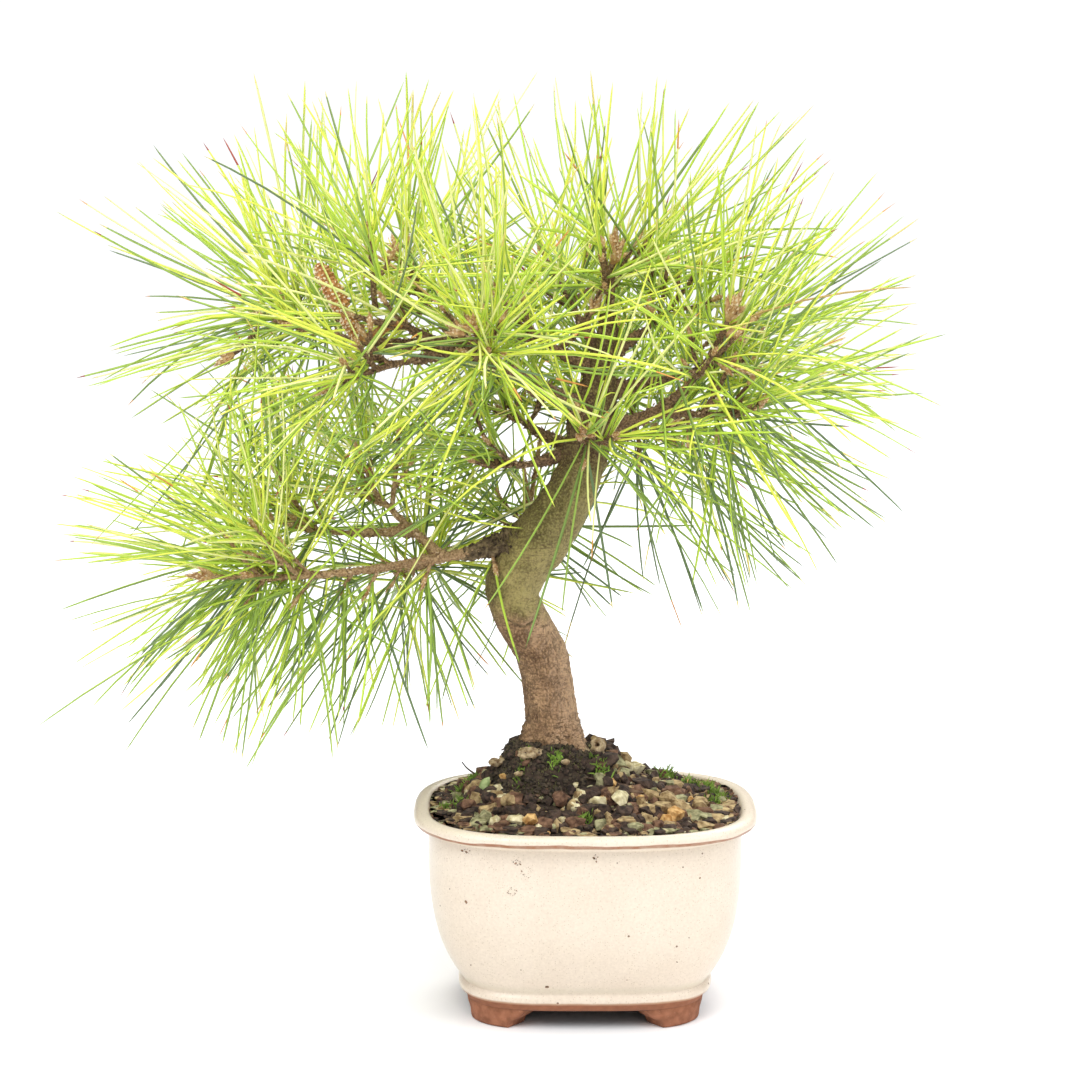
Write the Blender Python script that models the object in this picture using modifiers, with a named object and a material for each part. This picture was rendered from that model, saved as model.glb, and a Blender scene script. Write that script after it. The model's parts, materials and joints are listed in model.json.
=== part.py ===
"""A black pine bonsai in its cream glazed pot, built at real size in metres with +Z up.

The tree and pot are worked out from the middle of the pot's footprint. An empty then carries all of it
so that the world origin lies on the floor under the middle of the whole plant.
"""

import math
import random
from typing import NamedTuple

import bmesh
import bpy
import numpy as np
from mathutils import Matrix, Vector
from mathutils.bvhtree import BVHTree

MM = 0.001
SEED = 1907
CLEARANCE = 0.3 * MM
FLAT_ANGLE = math.radians(1.5)

# Where the origin lies, from the middle of the pot
ORIGIN_X = -50 * MM
ORIGIN_Y = 7.4 * MM

# Pot: a rounded rectangle in plan, drawn in sharply above its feet
RIM_HALF_WIDTH = 87 * MM
POT_HEIGHT = 105 * MM
DEPTH_SHARE = 0.775
RIM_CORNER_POWER = 2.9
BASE_CORNER_POWER = 3.7
POT_STEPS = 28
WALL = 4.6 * MM
LIP_HEIGHT = 8.5 * MM
BODY_TOP_HALF_WIDTH = 79.3 * MM
BODY_FOOT_HALF_WIDTH = 63.6 * MM
BODY_FOOT_HEIGHT = 21 * MM
BODY_CURVE_POWER = 3.5
BASE_HALF_WIDTH = 60.2 * MM
BASE_HEIGHT = 10 * MM
FLOOR_HEIGHT = 19 * MM
HOLLOW_DRAW = 0.3
HOLLOW_POWER = 3.2
# Each pair is how far in from the rim's edge and how far down from its top, in millimetres
LIP_PROFILE = ((10.1, 1.5), (8.1, 0), (2.4, 0), (0.4, 1.4), (0, 3.6), (2.2, 6.2))
# Groove, moulding and bare band under the body: each pair is a half-width and a height, in millimetres
BASE_PROFILE = ((62.4, 19.4), (64.3, 17.2), (64, 14.5), (61.8, 13.5), (60.2, 10))

# Bracket feet under the four corners of the pot
FOOT_THICKNESS = 13 * MM
FOOT_FRONT_REACH = 0.47
FOOT_SIDE_REACH = 0.42
# Each pair is a share of the way from the foot's corner to its end, and the height of the lower edge there
FOOT_BRACKET = ((0.0, 0.0), (0.62, 0.0), (0.65, 3.2 * MM), (0.78, 4.7 * MM), (0.9, 6.0 * MM), (1.0, 9.0 * MM))

# Soil: a low dome that rises to a clump of old roots under the trunk
SOIL_EDGE_HEIGHT = 99.5 * MM
SOIL_TOP = 131 * MM
SOIL_GAP = 0.48 * MM
# Each pair is a share of the way out to the wall, and the height of the soil there in millimetres
SOIL_RINGS = ((0.84, 103.5), (0.64, 109), (0.44, 115), (0.38, 122), (0.31, 128), (0.26, 131))

# Trunk: each row is the height above the soil, the place across and deep, and the radius, in millimetres
TRUNK_STATIONS = (
    (0, -16, 5, 16),
    (12, -16.4, 5, 14),
    (26, -18.2, 5, 13.2),
    (50, -22.3, 4, 13.2),
    (67, -31.4, 2, 13),
    (81, -36.4, 0, 12.8),
    (96, -33.0, -1, 14.2),
    (111, -21.3, 0, 15),
    (125, -11.8, 1, 13.2),
    (140, -3.8, 2, 11.6),
    (154, 0.6, 3, 11.3),
    (169, 3.1, 4, 11.8),
    (184, 6, 5, 9),
    (201, 9, 6, 6.2),
    (221, 11.3, 5, 4),
)
TRUNK_SIDES = 10
FLARE_ROOTS = 6
GROUND_SIZE = 200 * MM
FLARE_REACH = 17 * MM
FLARE_HEIGHT = 17 * MM
FLARE_RADIUS = 6.5 * MM
# Each row is a share of the flare's reach, of its height and of its radius, from the trunk to the soil
FLARE_SHAPE = ((0, 1.5, 1.2), (0.52, 0.62, 1.05), (0.86, 0.12, 0.8), (1.02, -0.3, 0.6))

# Foliage: sprays of pointed needles, larger than life, on four-sided stems and twigs
NEEDLE_LENGTH = 98 * MM
SPRAY_SIZES = (1.0, 0.86, 0.72, 0.6, 0.48, 0.36)
SPRAY_TURNS = (0, 0.4, -0.4, 0.8, -0.8)
SPRAY_TINES = 4
TINE_THICKNESS = 1.5 * MM
TINE_FAN = math.radians(15)
DEEP_NOTCH = 10 * MM
WEB_SHARE = 0.36
ROOT_WIDTH = 1.4 * MM
FACE_PULL = 0.6
NEEDLE_CHECKS = 16
TIP_ROOM = 0.4 * MM
ROOT_ROOM = 3.4 * MM
FIRST_SPRAY = 0.16
LAST_ROOM = 2.2 * MM
GOLDEN_ANGLE = math.radians(137.5)
BASE_OPENING = math.radians(84)
TIP_OPENING = math.radians(28)
DROOP = 0.12
SPACE_MARGIN = 2.2 * MM
LIMB_MARGIN = 1.5 * MM
TWIG_LENGTH = 32 * MM
TWIG_RADIUS = 2.9 * MM
TWIG_OPENING = math.radians(52)
LOWEST_NEEDLE = 139 * MM
HIGHEST_NEEDLE = 473 * MM


class Limb(NamedTuple):
    """A tapering limb. Its first share is the bare bough, and the rest is the stem of a mass of needles."""

    name: str
    parent: str
    leaves: float  # height above the soil in millimetres on the trunk, or a share of the parent limb
    heading: float  # degrees, 0 to the right and 90 to the back
    reach: float  # level distance from root to tip, in millimetres
    rise: float  # height of the tip above the root, in millimetres
    arch: float  # height of the middle above a straight limb, in millimetres
    swing: float  # sideways bow of the middle, to the left of the heading, in millimetres
    turn_up: float  # how far the last stretch bends upwards, in millimetres
    thick: float  # radius at the root, in millimetres
    thin: float  # radius at the tip, in millimetres
    bare: float  # share of the limb that is bough
    twigs: int
    sprays: int


LIMBS = (
    Limb("low_left", "trunk", 111, 188.7, 164, -16, -3, 2, 6, 5.6, 2.2, 0.6, 3, 19),
    Limb("low_left_rise", "low_left", 0.31, 143, 53, 38, -1, -3, 8, 3.6, 2.0, 0.56, 2, 12),
    Limb("low_left_back", "low_left_rise", 0.4, 154, 82, 0, -1, 2, 7, 2.7, 1.8, 0.4, 2, 14),
    Limb("low_left_under", "low_left", 0.36, 113, 31, -19, 3, 0, 0, 2.6, 1.8, 0.34, 1, 12),
    Limb("low_back", "trunk", 112, 97, 81, 2, -2, 3, 8, 4.2, 2.0, 0.45, 2, 14),
    Limb("mid_left", "trunk", 156, 167, 56, -8, -2, 2, 8, 4.2, 2.0, 0.46, 1, 9),
    Limb("upper_left", "trunk", 171, 196.8, 135, 74, 7, 9, 25, 6, 2.3, 0.68, 2, 15),
    Limb("upper_front", "upper_left", 0.22, 243, 67, 34, 2, -3, 10, 3.6, 2.0, 0.36, 2, 15),
    Limb("top_left", "upper_left", 0.42, 129, 73, 51, 2, 4, 14, 3.4, 2.0, 0.4, 2, 15),
    Limb("far_left", "upper_left", 0.58, 142, 118, 18, -2, 6, 14, 3.2, 1.9, 0.45, 2, 18),
    Limb("left_hang", "upper_left", 0.5, 206, 70, -12, 4, -3, 2, 3.0, 1.9, 0.36, 2, 14),
    Limb("top_mid", "trunk", 191, 189, 49, 36, 2, -3, 12, 3.6, 2.0, 0.4, 1, 10),
    Limb("top_back", "trunk", 201, 107, 72, 37, 2, 2, 10, 3.6, 2.0, 0.42, 2, 15),
    Limb("top_right", "trunk", 199, 8, 46, 42, 0, 0, 12, 3.4, 2.0, 0.4, 1, 10),
    Limb("right", "trunk", 166, 332, 74, 56, -9, 2, 20, 5.4, 2.3, 0.66, 2, 15),
    Limb("right_low", "right", 0.5, 340, 50, 4, -1, -2, 6, 3.2, 1.9, 0.3, 2, 15),
    Limb("right_back", "trunk", 183, 26, 88, 23, -2, 4, 12, 4.2, 2.0, 0.45, 2, 16),
    Limb("right_hang", "trunk", 158, 42, 58, -5, 3, 0, 0, 3.8, 1.9, 0.46, 2, 13),
    Limb("back", "trunk", 170, 82, 85, 9, -1, 0, 8, 4.2, 2.0, 0.45, 2, 13),
    Limb("back_left", "trunk", 153, 118, 93, 20, -1, 4, 8, 4.2, 2.0, 0.5, 2, 13),
    Limb("front", "trunk", 160, 268, 43, 7, 0, 0, 5, 3.4, 1.9, 0.42, 1, 12),
)
APEX = Limb("apex", "trunk", 221, 0, 0, 0, 0, 0, 0, 3.2, 2.0, 0, 2, 16)
APEX_STEM = Vector((2.2, -5, 30)) * MM
STEM_STATIONS = 4
BOUGH_STATIONS = 5


def clear_scene():
    """Removes whatever the file opened with."""
    for thing in list(bpy.data.objects):
        bpy.data.objects.remove(thing, do_unlink=True)


def make_material(name, colour, roughness, metallic=0.0):
    """A plain surface of one colour."""
    material = bpy.data.materials.new(name)
    material.use_nodes = True
    shader = material.node_tree.nodes["Principled BSDF"]
    shader.inputs["Base Color"].default_value = (*colour, 1.0)
    shader.inputs["Roughness"].default_value = roughness
    shader.inputs["Metallic"].default_value = metallic
    material.diffuse_color = (*colour, 1.0)
    return material


def make_collection(name):
    """A new collection in the scene."""
    collection = bpy.data.collections.new(name)
    bpy.context.scene.collection.children.link(collection)
    return collection


def object_from_bmesh(shape, name, collection, material=None):
    """Turns a bmesh into an object in the collection."""
    mesh = bpy.data.meshes.new(name)
    bmesh.ops.recalc_face_normals(shape, faces=shape.faces)
    shape.to_mesh(mesh)
    shape.free()
    thing = bpy.data.objects.new(name, mesh)
    collection.objects.link(thing)
    if material:
        mesh.materials.append(material)
    return thing


def apply_modifiers(thing):
    """Replaces the object's mesh by the one its modifiers make."""
    bpy.context.view_layer.update()
    graph = bpy.context.evaluated_depsgraph_get()
    mesh = bpy.data.meshes.new_from_object(thing.evaluated_get(graph))
    thing.modifiers.clear()
    thing.data = mesh
    mesh.name = thing.name
    return thing


def is_closed(thing):
    """True where every edge of the object's mesh has two faces."""
    shape = bmesh.new()
    shape.from_mesh(thing.data)
    whole = len(shape.faces) > 0 and all(edge.is_manifold for edge in shape.edges)
    shape.free()
    return whole


def boolean(thing, operation, other, solver="EXACT"):
    """Joins or cuts the object with another object, or with each object of a collection."""
    cut = thing.modifiers.new(operation.title(), "BOOLEAN")
    cut.operation = operation
    cut.solver = solver
    if isinstance(other, bpy.types.Collection):
        cut.operand_type = "COLLECTION"
        cut.collection = other
    else:
        cut.object = other
    return apply_modifiers(thing)


def merge_flat_faces(thing):
    """Dissolves the edges that a Boolean leaves inside flat faces."""
    shape = bmesh.new()
    shape.from_mesh(thing.data)
    bmesh.ops.dissolve_limit(shape, angle_limit=FLAT_ANGLE, verts=shape.verts, edges=shape.edges)
    shape.to_mesh(thing.data)
    shape.free()


def drop_scraps(thing):
    """Keeps only the largest of the bodies that the mesh holds."""
    shape = bmesh.new()
    shape.from_mesh(thing.data)
    left = set(shape.verts)
    bodies = []
    while left:
        body = set()
        waiting = [left.pop()]
        while waiting:
            corner = waiting.pop()
            body.add(corner)
            near = {edge.other_vert(corner) for edge in corner.link_edges} & left
            left -= near
            waiting.extend(near)
        bodies.append(body)
    bodies.sort(key=len)
    for body in bodies[:-1]:
        bmesh.ops.delete(shape, geom=list(body), context="VERTS")
    shape.to_mesh(thing.data)
    shape.free()


def tube(points, radii, sides, name, collection, material=None):
    """A tapering round bar along the points, made as a curve and turned into a closed mesh."""
    data = bpy.data.curves.new(name, "CURVE")
    data.dimensions = "3D"
    data.bevel_depth = 1.0
    data.bevel_resolution = (sides - 4) // 2
    data.use_fill_caps = True
    spline = data.splines.new("POLY")
    spline.points.add(len(points) - 1)
    for corner, place, radius in zip(spline.points, points, radii):
        corner.co = (*place, 1.0)
        corner.radius = radius
    guide = bpy.data.objects.new(name, data)
    collection.objects.link(guide)
    bpy.context.view_layer.update()
    graph = bpy.context.evaluated_depsgraph_get()
    mesh = bpy.data.meshes.new_from_object(guide.evaluated_get(graph))
    bpy.data.objects.remove(guide, do_unlink=True)
    shape = bmesh.new()
    shape.from_mesh(mesh)
    bmesh.ops.remove_doubles(shape, verts=shape.verts, dist=0.01 * MM)
    return object_from_bmesh(shape, name, collection, material)


# Pot, feet and soil


def body_half_width(height):
    """Half the width of the pot's body at a height above the floor."""
    share = (height - BODY_FOOT_HEIGHT) / (POT_HEIGHT - LIP_HEIGHT - BODY_FOOT_HEIGHT)
    taper = BODY_TOP_HALF_WIDTH - BODY_FOOT_HALF_WIDTH
    return BODY_TOP_HALF_WIDTH - taper * (1 - share) ** BODY_CURVE_POWER


def inner_half_width(height):
    """Half the width of the pot's hollow, a parabola drawn in to its floor."""
    widest = BODY_TOP_HALF_WIDTH - WALL
    share = (height - FLOOR_HEIGHT) / (POT_HEIGHT - FLOOR_HEIGHT)
    return widest * (1 - HOLLOW_DRAW * (1 - share) ** HOLLOW_POWER)


def even(low, high, count):
    """Evenly spread values, both ends included."""
    return [low + (high - low) * i / (count - 1) for i in range(count)]


def pot_profile():
    """Half-widths and heights from the middle of the hollow's floor, over the lip to the underside."""
    lip_foot = POT_HEIGHT - LIP_HEIGHT
    inside = [(0, FLOOR_HEIGHT)]
    inside += [(inner_half_width(z), z) for z in even(FLOOR_HEIGHT, POT_HEIGHT - 6 * MM, 5)]
    lip = [(RIM_HALF_WIDTH - inward * MM, POT_HEIGHT - down * MM) for inward, down in LIP_PROFILE]
    body = [(body_half_width(z), z) for z in even(lip_foot, BODY_FOOT_HEIGHT, 8)]
    base = [(half_width * MM, height * MM) for half_width, height in BASE_PROFILE]
    return [*inside, *lip, *body, *base, (0, BASE_HEIGHT)]


def squared(x, y, height):
    """Moves a point of a circle out to the pot's rounded rectangle, squarer at the foot than at the rim."""
    radius = math.hypot(x, y)
    if radius < 1e-9:
        return 0.0, 0.0
    power = BASE_CORNER_POWER + (RIM_CORNER_POWER - BASE_CORNER_POWER) * min(1, height / POT_HEIGHT)
    c, s = abs(x / radius), abs(y / radius)
    grow = (c**power + s**power) ** (-1 / power)
    return x * grow, y * grow * DEPTH_SHARE


def turn_profile(profile, name, collection, material):
    """Screws a profile round the upright axis, then squares its plan."""
    shape = bmesh.new()
    corners = [shape.verts.new((x, 0, z)) for x, z in profile]
    for a, b in zip(corners, corners[1:]):
        shape.edges.new((a, b))
    mesh = bpy.data.meshes.new(name)
    shape.to_mesh(mesh)
    shape.free()
    thing = bpy.data.objects.new(name, mesh)
    collection.objects.link(thing)
    mesh.materials.append(material)
    screw = thing.modifiers.new("Screw", "SCREW")
    screw.steps = screw.render_steps = POT_STEPS
    screw.use_merge_vertices = True
    screw.merge_threshold = 0.01 * MM
    apply_modifiers(thing)
    for vertex in thing.data.vertices:
        vertex.co.x, vertex.co.y = squared(*vertex.co)
    return thing


def smooth_sides(thing, angle=40):
    """Shades the object smooth, with its sharp edges kept."""
    thing.data.shade_smooth()
    thing.data.set_sharp_from_angle(angle=math.radians(angle))


def make_pot(collection, material):
    """The glazed body, with its lip, its hollow and the plain band under the glaze."""
    pot = turn_profile(pot_profile(), "pot", collection, material)
    smooth_sides(pot)
    return pot


def base_outline(turn):
    """The point of the pot's lower edge at an angle, and the point one foot's thickness further in."""
    outer = Vector((*squared(BASE_HALF_WIDTH * math.cos(turn), BASE_HALF_WIDTH * math.sin(turn), 0), 0))
    inward = -outer.normalized()
    return outer, outer + inward * FOOT_THICKNESS


def foot_sections():
    """Angles and lower-edge heights from the front end of a foot, round its corner, to its side end."""
    corner = math.radians(45)
    front = math.acos(FOOT_FRONT_REACH)
    side = math.asin(FOOT_SIDE_REACH)
    there = [(corner + (front - corner) * share, height) for share, height in reversed(FOOT_BRACKET)]
    back = [(corner + (side - corner) * share, height) for share, height in FOOT_BRACKET[1:]]
    return there + back


def make_foot(name, across, deep, collection, material):
    """One bracket foot: a strip of the base's edge whose lower side follows the bracket."""
    shape = bmesh.new()
    rings = []
    for turn, low in foot_sections():
        outer, inner = base_outline(turn)
        top = BASE_HEIGHT - CLEARANCE
        ring = [(outer, low), (outer, top), (inner, top), (inner, low)]
        rings.append([shape.verts.new((p.x * across, p.y * deep, z)) for p, z in ring])
    for near, far in zip(rings, rings[1:]):
        for k in range(4):
            shape.faces.new((near[k], near[(k + 1) % 4], far[(k + 1) % 4], far[k]))
    shape.faces.new(rings[0])
    shape.faces.new(rings[-1])
    bmesh.ops.triangulate(shape, faces=shape.faces)
    return object_from_bmesh(shape, name, collection, material)


def make_feet(collection, material):
    """The four feet, named for their corner of the pot."""
    for deep, row in ((-1, "front"), (1, "back")):
        for across, side in ((-1, "left"), (1, "right")):
            make_foot(f"foot_{row}_{side}", across, deep, collection, material)


def make_soil(collection, material):
    """The soil that fills the pot, with a dome whose rings gather round the foot of the trunk."""
    floor = FLOOR_HEIGHT + CLEARANCE
    edge = inner_half_width(SOIL_EDGE_HEIGHT) - SOIL_GAP
    rings = [(share * edge, height * MM) for share, height in reversed(SOIL_RINGS)]
    wall = [(inner_half_width(z) - SOIL_GAP, z) for z in even(SOIL_EDGE_HEIGHT, floor, 5)]
    soil = turn_profile([(0, SOIL_TOP), *rings, *wall, (0, floor)], "soil", collection, material)
    shares = {height: share for share, height in SOIL_RINGS}
    foot = trunk_station(0)[0]
    for vertex in soil.data.vertices:
        share = shares.get(round(vertex.co.z / MM, 2), 1)
        vertex.co.x += foot.x * (1 - share)
        vertex.co.y += foot.y * (1 - share)
    smooth_sides(soil, 60)
    return soil


# Trunk and boughs


def trunk_station(index):
    """Place and radius of one station of the trunk."""
    height, x, y, radius = TRUNK_STATIONS[index]
    base = SOIL_TOP + CLEARANCE
    return Vector((x * MM, y * MM, base + height * MM)), radius * MM


def trunk_path():
    """The points and radii of the trunk's axis."""
    stations = [trunk_station(i) for i in range(len(TRUNK_STATIONS))]
    return [place for place, _ in stations], [radius for _, radius in stations]


def along(points, share):
    """The point at a share of the way along a path, counted by its length."""
    lengths = [(b - a).length for a, b in zip(points, points[1:])]
    left = share * sum(lengths)
    for start, end, length in zip(points, points[1:], lengths):
        if left <= length:
            return start.lerp(end, left / length)
        left -= length
    return points[-1].copy()


def trunk_share(height):
    """The share of the trunk's length at a height above the soil."""
    points, _ = trunk_path()
    level = SOIL_TOP + height * MM
    walked = 0.0
    for a, b in zip(points, points[1:]):
        if a.z <= level <= b.z:
            walked += (b - a).length * (level - a.z) / (b.z - a.z)
            break
        walked += (b - a).length
    return walked / sum((b - a).length for a, b in zip(points, points[1:]))


def limb_point(limb, root, t):
    """The point at a share t of a limb that leaves from root."""
    turn = math.radians(limb.heading)
    ahead = Vector((math.cos(turn), math.sin(turn), 0))
    left = Vector((-math.sin(turn), math.cos(turn), 0))
    bow = 4 * t * (1 - t)
    climb = limb.rise * t + limb.arch * bow + limb.turn_up * (t**4 - t)
    return root + (ahead * limb.reach * t + left * limb.swing * bow + Vector((0, 0, climb))) * MM


def limb_paths():
    """Root point of every limb, found in order from its parent."""
    points, _ = trunk_path()
    roots = {}
    for limb in LIMBS:
        if limb.parent == "trunk":
            roots[limb.name] = along(points, trunk_share(limb.leaves))
        else:
            parent = next(other for other in LIMBS if other.name == limb.parent)
            roots[limb.name] = limb_point(parent, roots[parent.name], limb.leaves)
    return roots


def limb_radius(limb, t):
    """Radius of a limb at a share of its length."""
    return (limb.thick + (limb.thin - limb.thick) * t**0.8) * MM


def bough_path(limb, root):
    """Points and radii of the bare part of a limb."""
    shares = even(0, limb.bare, BOUGH_STATIONS)
    return [limb_point(limb, root, t) for t in shares], [limb_radius(limb, t) for t in shares]


def joint_gap(limb, root):
    """Room between a bough's end and its stem: the clearance, and more where the limb bends between them."""
    joint = limb_point(limb, root, limb.bare)
    before = limb_point(limb, root, limb.bare * (1 - 1 / (BOUGH_STATIONS - 1)))
    after = limb_point(limb, root, limb.bare + (1 - limb.bare) / (STEM_STATIONS - 1))
    bend = (joint - before).angle(after - joint)
    return CLEARANCE * 1.2 + limb_radius(limb, limb.bare) * math.tan(bend)


def stem_path(limb, root):
    """Points and radii of the part of a limb inside its foliage, clear of the bough's end."""
    if limb.name == APEX.name:
        start = trunk_path()[0][-1] + Vector((0, 0, CLEARANCE))
        shares = even(0, 1, STEM_STATIONS)
        return [start + APEX_STEM * t for t in shares], [limb_radius(limb, t) for t in shares]
    length = (limb_point(limb, root, limb.bare + 0.05) - limb_point(limb, root, limb.bare)).length / 0.05
    shares = even(limb.bare + joint_gap(limb, root) / length, 1, STEM_STATIONS)
    return [limb_point(limb, root, t) for t in shares], [limb_radius(limb, t) for t in shares]


def make_flare(level, index, collection):
    """One old root that leaves the foot of the trunk and dips into the soil."""
    turn = 2 * math.pi * (index + 0.35) / FLARE_ROOTS
    out = Vector((math.cos(turn), math.sin(turn), 0))
    reach = FLARE_REACH * (1.0 if index % 2 else 0.86)
    points = [level + out * reach * far + Vector((0, 0, FLARE_HEIGHT * high)) for far, high, _ in FLARE_SHAPE]
    radii = [FLARE_RADIUS * size for _, _, size in FLARE_SHAPE]
    return tube(points, radii, 6, f"flare_{index}", collection)


def make_trunk(collection, material):
    """The trunk, whole from its flat cut on the soil to the tip that carries the apex."""
    points, radii = trunk_path()
    trunk = tube(points, radii, TRUNK_SIDES, "trunk", collection, material)
    roots = make_collection("flare_roots")
    for i in range(FLARE_ROOTS):
        make_flare(points[0], i, roots)
    boolean(trunk, "UNION", roots)
    ground = bmesh.new()
    bmesh.ops.create_cube(ground, size=GROUND_SIZE)
    bmesh.ops.translate(ground, verts=ground.verts, vec=(0, 0, points[0].z - GROUND_SIZE / 2))
    boolean(trunk, "DIFFERENCE", object_from_bmesh(ground, "ground_cutter", roots))
    remove_collection(roots)
    drop_scraps(trunk)
    smooth_sides(trunk, 60)
    return trunk


def remove_collection(collection):
    """Removes a collection and the objects in it."""
    for thing in list(collection.objects):
        bpy.data.objects.remove(thing, do_unlink=True)
    bpy.data.collections.remove(collection)


def parent_guide(limb, roots, cutters):
    """The parent's bar, larger all round by the clearance, to cut the limb's root with."""
    if limb.parent == "trunk":
        points, radii = trunk_path()
        sides = TRUNK_SIDES
    else:
        parent = next(other for other in LIMBS if other.name == limb.parent)
        points, radii = bough_path(parent, roots[parent.name])
        sides = 6
    grown = [radius + CLEARANCE * 1.4 for radius in radii]
    return tube(points, grown, sides, f"{limb.name}_cutter", cutters)


def make_boughs(collection, material, roots):
    """Every bare bough, its root cut to fit 0.3 mm clear of what carries it."""
    cutters = make_collection("bough_cutters")
    for limb in LIMBS:
        points, radii = bough_path(limb, roots[limb.name])
        bough = tube(points, radii, 6, f"bough_{limb.name}", collection, material)
        boolean(bough, "DIFFERENCE", parent_guide(limb, roots, cutters))
        drop_scraps(bough)
        smooth_sides(bough, 60)
    remove_collection(cutters)


# Foliage


def across_of(direction):
    """Two directions square to the one given."""
    other = Vector((0, 0, 1)) if abs(direction.z) < 0.9 else Vector((1, 0, 0))
    side = direction.cross(other).normalized()
    return side, direction.cross(side).normalized()


def lean(direction, opening, turn):
    """The direction opened by an angle away from the one given, at a turn round it."""
    side, up = across_of(direction)
    return direction * math.cos(opening) + (side * math.cos(turn) + up * math.sin(turn)) * math.sin(opening)


def twig_paths(limb, stem, rng):
    """Side twigs that leave the stem in turn round it and bend up to the light."""
    twigs = []
    turn = rng.uniform(0, 2 * math.pi)
    for i in range(limb.twigs):
        share = 0.18 + 0.5 * i / max(1, limb.twigs)
        start = along(stem, share)
        ahead = (along(stem, share + 0.1) - start).normalized()
        out = lean(ahead, TWIG_OPENING, turn)
        out.z = max(out.z, -0.1)
        length = TWIG_LENGTH * rng.uniform(0.8, 1.1)
        points = [start + out * length * t + Vector((0, 0, length * 0.28 * t * t)) for t in even(0, 1, 3)]
        twigs.append(points)
        turn += GOLDEN_ANGLE
    return twigs


def sampled(paths, step=5 * MM):
    """Points close together along every path, as rows of an array."""
    points = []
    for path in paths:
        for a, b in zip(path, path[1:]):
            count = max(1, math.ceil((b - a).length / step))
            points += [a.lerp(b, i / count) for i in range(count)]
        points.append(path[-1])
    return np.array(points)


def distances(points, others):
    """Distance from every point to every one of the others."""
    return np.linalg.norm(points[:, None, :] - others[None, :, :], axis=2)


def needle_points(root, tip):
    """Points along a needle outside its twig, with the room it takes at each."""
    shares = np.linspace(0, 1, NEEDLE_CHECKS)
    start = root.lerp(tip, ROOT_ROOM / (tip - root).length)
    points = np.array([start.lerp(tip, t) for t in shares])
    return points, TINE_THICKNESS * 0.6 * (1 - shares) + TIP_ROOM


def fits(points, sizes, own, others, wood, wood_sizes, placed):
    """True where a needle keeps to its own space, clear of all bare wood and of the sprays before it."""
    if points[:, 2].min() < LOWEST_NEEDLE or points[:, 2].max() > HIGHEST_NEEDLE:
        return False
    if (distances(points, own).min(axis=1) + SPACE_MARGIN > distances(points, others).min(axis=1)).any():
        return False
    if (distances(points, wood) < wood_sizes[None, :] + sizes[:, None] + LIMB_MARGIN).any():
        return False
    if placed:
        other_points = np.concatenate([row[0] for row in placed])
        other_sizes = np.concatenate([row[1] for row in placed])
        if (distances(points, other_points) < sizes[:, None] + other_sizes[None, :]).any():
            return False
    return True


def spray_sites(limb, shoots, rng):
    """Where sprays are rooted: round the stem and its twigs in turn, from their feet to their tips."""
    turn = rng.uniform(0, 2 * math.pi)
    lengths = [sum((b - a).length for a, b in zip(shoot, shoot[1:])) for shoot in shoots]
    sites = []
    for shoot, length in zip(shoots, lengths):
        count = max(3, round(limb.sprays * length / sum(lengths)))
        for i in range(count):
            share = FIRST_SPRAY + (1 - FIRST_SPRAY - LAST_ROOM / length) * i / (count - 1)
            root = along(shoot, share)
            axis = (along(shoot, min(1, share + 0.05)) - along(shoot, share - 0.05)).normalized()
            opening = BASE_OPENING + (TIP_OPENING - BASE_OPENING) * share**1.3
            sites.append((shoots.index(shoot), root, axis, opening, turn))
            turn += GOLDEN_ANGLE
    return sites


class Spray(NamedTuple):
    """A toothed blade: its root, its direction, the way its teeth fan out, their tips and its notches."""

    root: Vector
    ahead: Vector
    flat: Vector
    tips: list
    notches: list


def off_face(root, ahead, axis, surface):
    """Turns a direction part of the way to the middle of the twig's face that it leaves by."""
    outward = ahead - axis * ahead.dot(axis)
    _, face, _, _ = surface.ray_cast(root, outward)
    if face is None:
        return ahead
    face = (face - axis * face.dot(axis)).normalized()
    turned = (outward.normalized() * (1 - FACE_PULL) + face * FACE_PULL).normalized()
    return (axis * ahead.dot(axis) + turned * outward.length).normalized()


def plan_spray(root, ahead, axis, length, rng):
    """One fan of needles in line with its twig. Level ones droop a little under their own weight."""
    flat = (axis - ahead * axis.dot(ahead)).normalized()
    flat = Matrix.Rotation(rng.uniform(-0.2, 0.2), 3, ahead) @ flat
    normal = flat.cross(ahead)
    tips = []
    for k in range(SPRAY_TINES):
        fan = (k - (SPRAY_TINES - 1) / 2) * TINE_FAN + rng.uniform(-0.04, 0.04)
        way = ahead * math.cos(fan) + flat * math.sin(fan) + normal * rng.uniform(-0.12, 0.12)
        way.z -= DROOP * math.hypot(way.x, way.y) * rng.uniform(0.4, 1.4)
        tips.append(root + way.normalized() * length * rng.uniform(0.86, 1.0))
    return Spray(root, ahead, flat, tips, [])


def notch_point(spray, near, far, depth):
    """A point in the plane of the blade, midway between two teeth and at a depth from the root."""
    middle = (near - spray.root).normalized() + (far - spray.root).normalized()
    normal = spray.flat.cross(spray.ahead).normalized()
    middle -= normal * middle.dot(normal)
    return spray.root + middle.normalized() * depth


def with_notches(spray, room):
    """The spray with a web between two teeth where there is room for it, and a deep notch elsewhere."""
    notches, rows = [], []
    for near, far in zip(spray.tips, spray.tips[1:]):
        depth = WEB_SHARE * min((near - spray.root).length, (far - spray.root).length)
        notch = notch_point(spray, near, far, depth)
        row = needle_points(spray.root, notch)
        if depth > DEEP_NOTCH and room(row):
            rows.append(row)
        else:
            notch = notch_point(spray, near, far, DEEP_NOTCH)
        notches.append(notch)
    return spray._replace(notches=notches), rows


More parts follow.
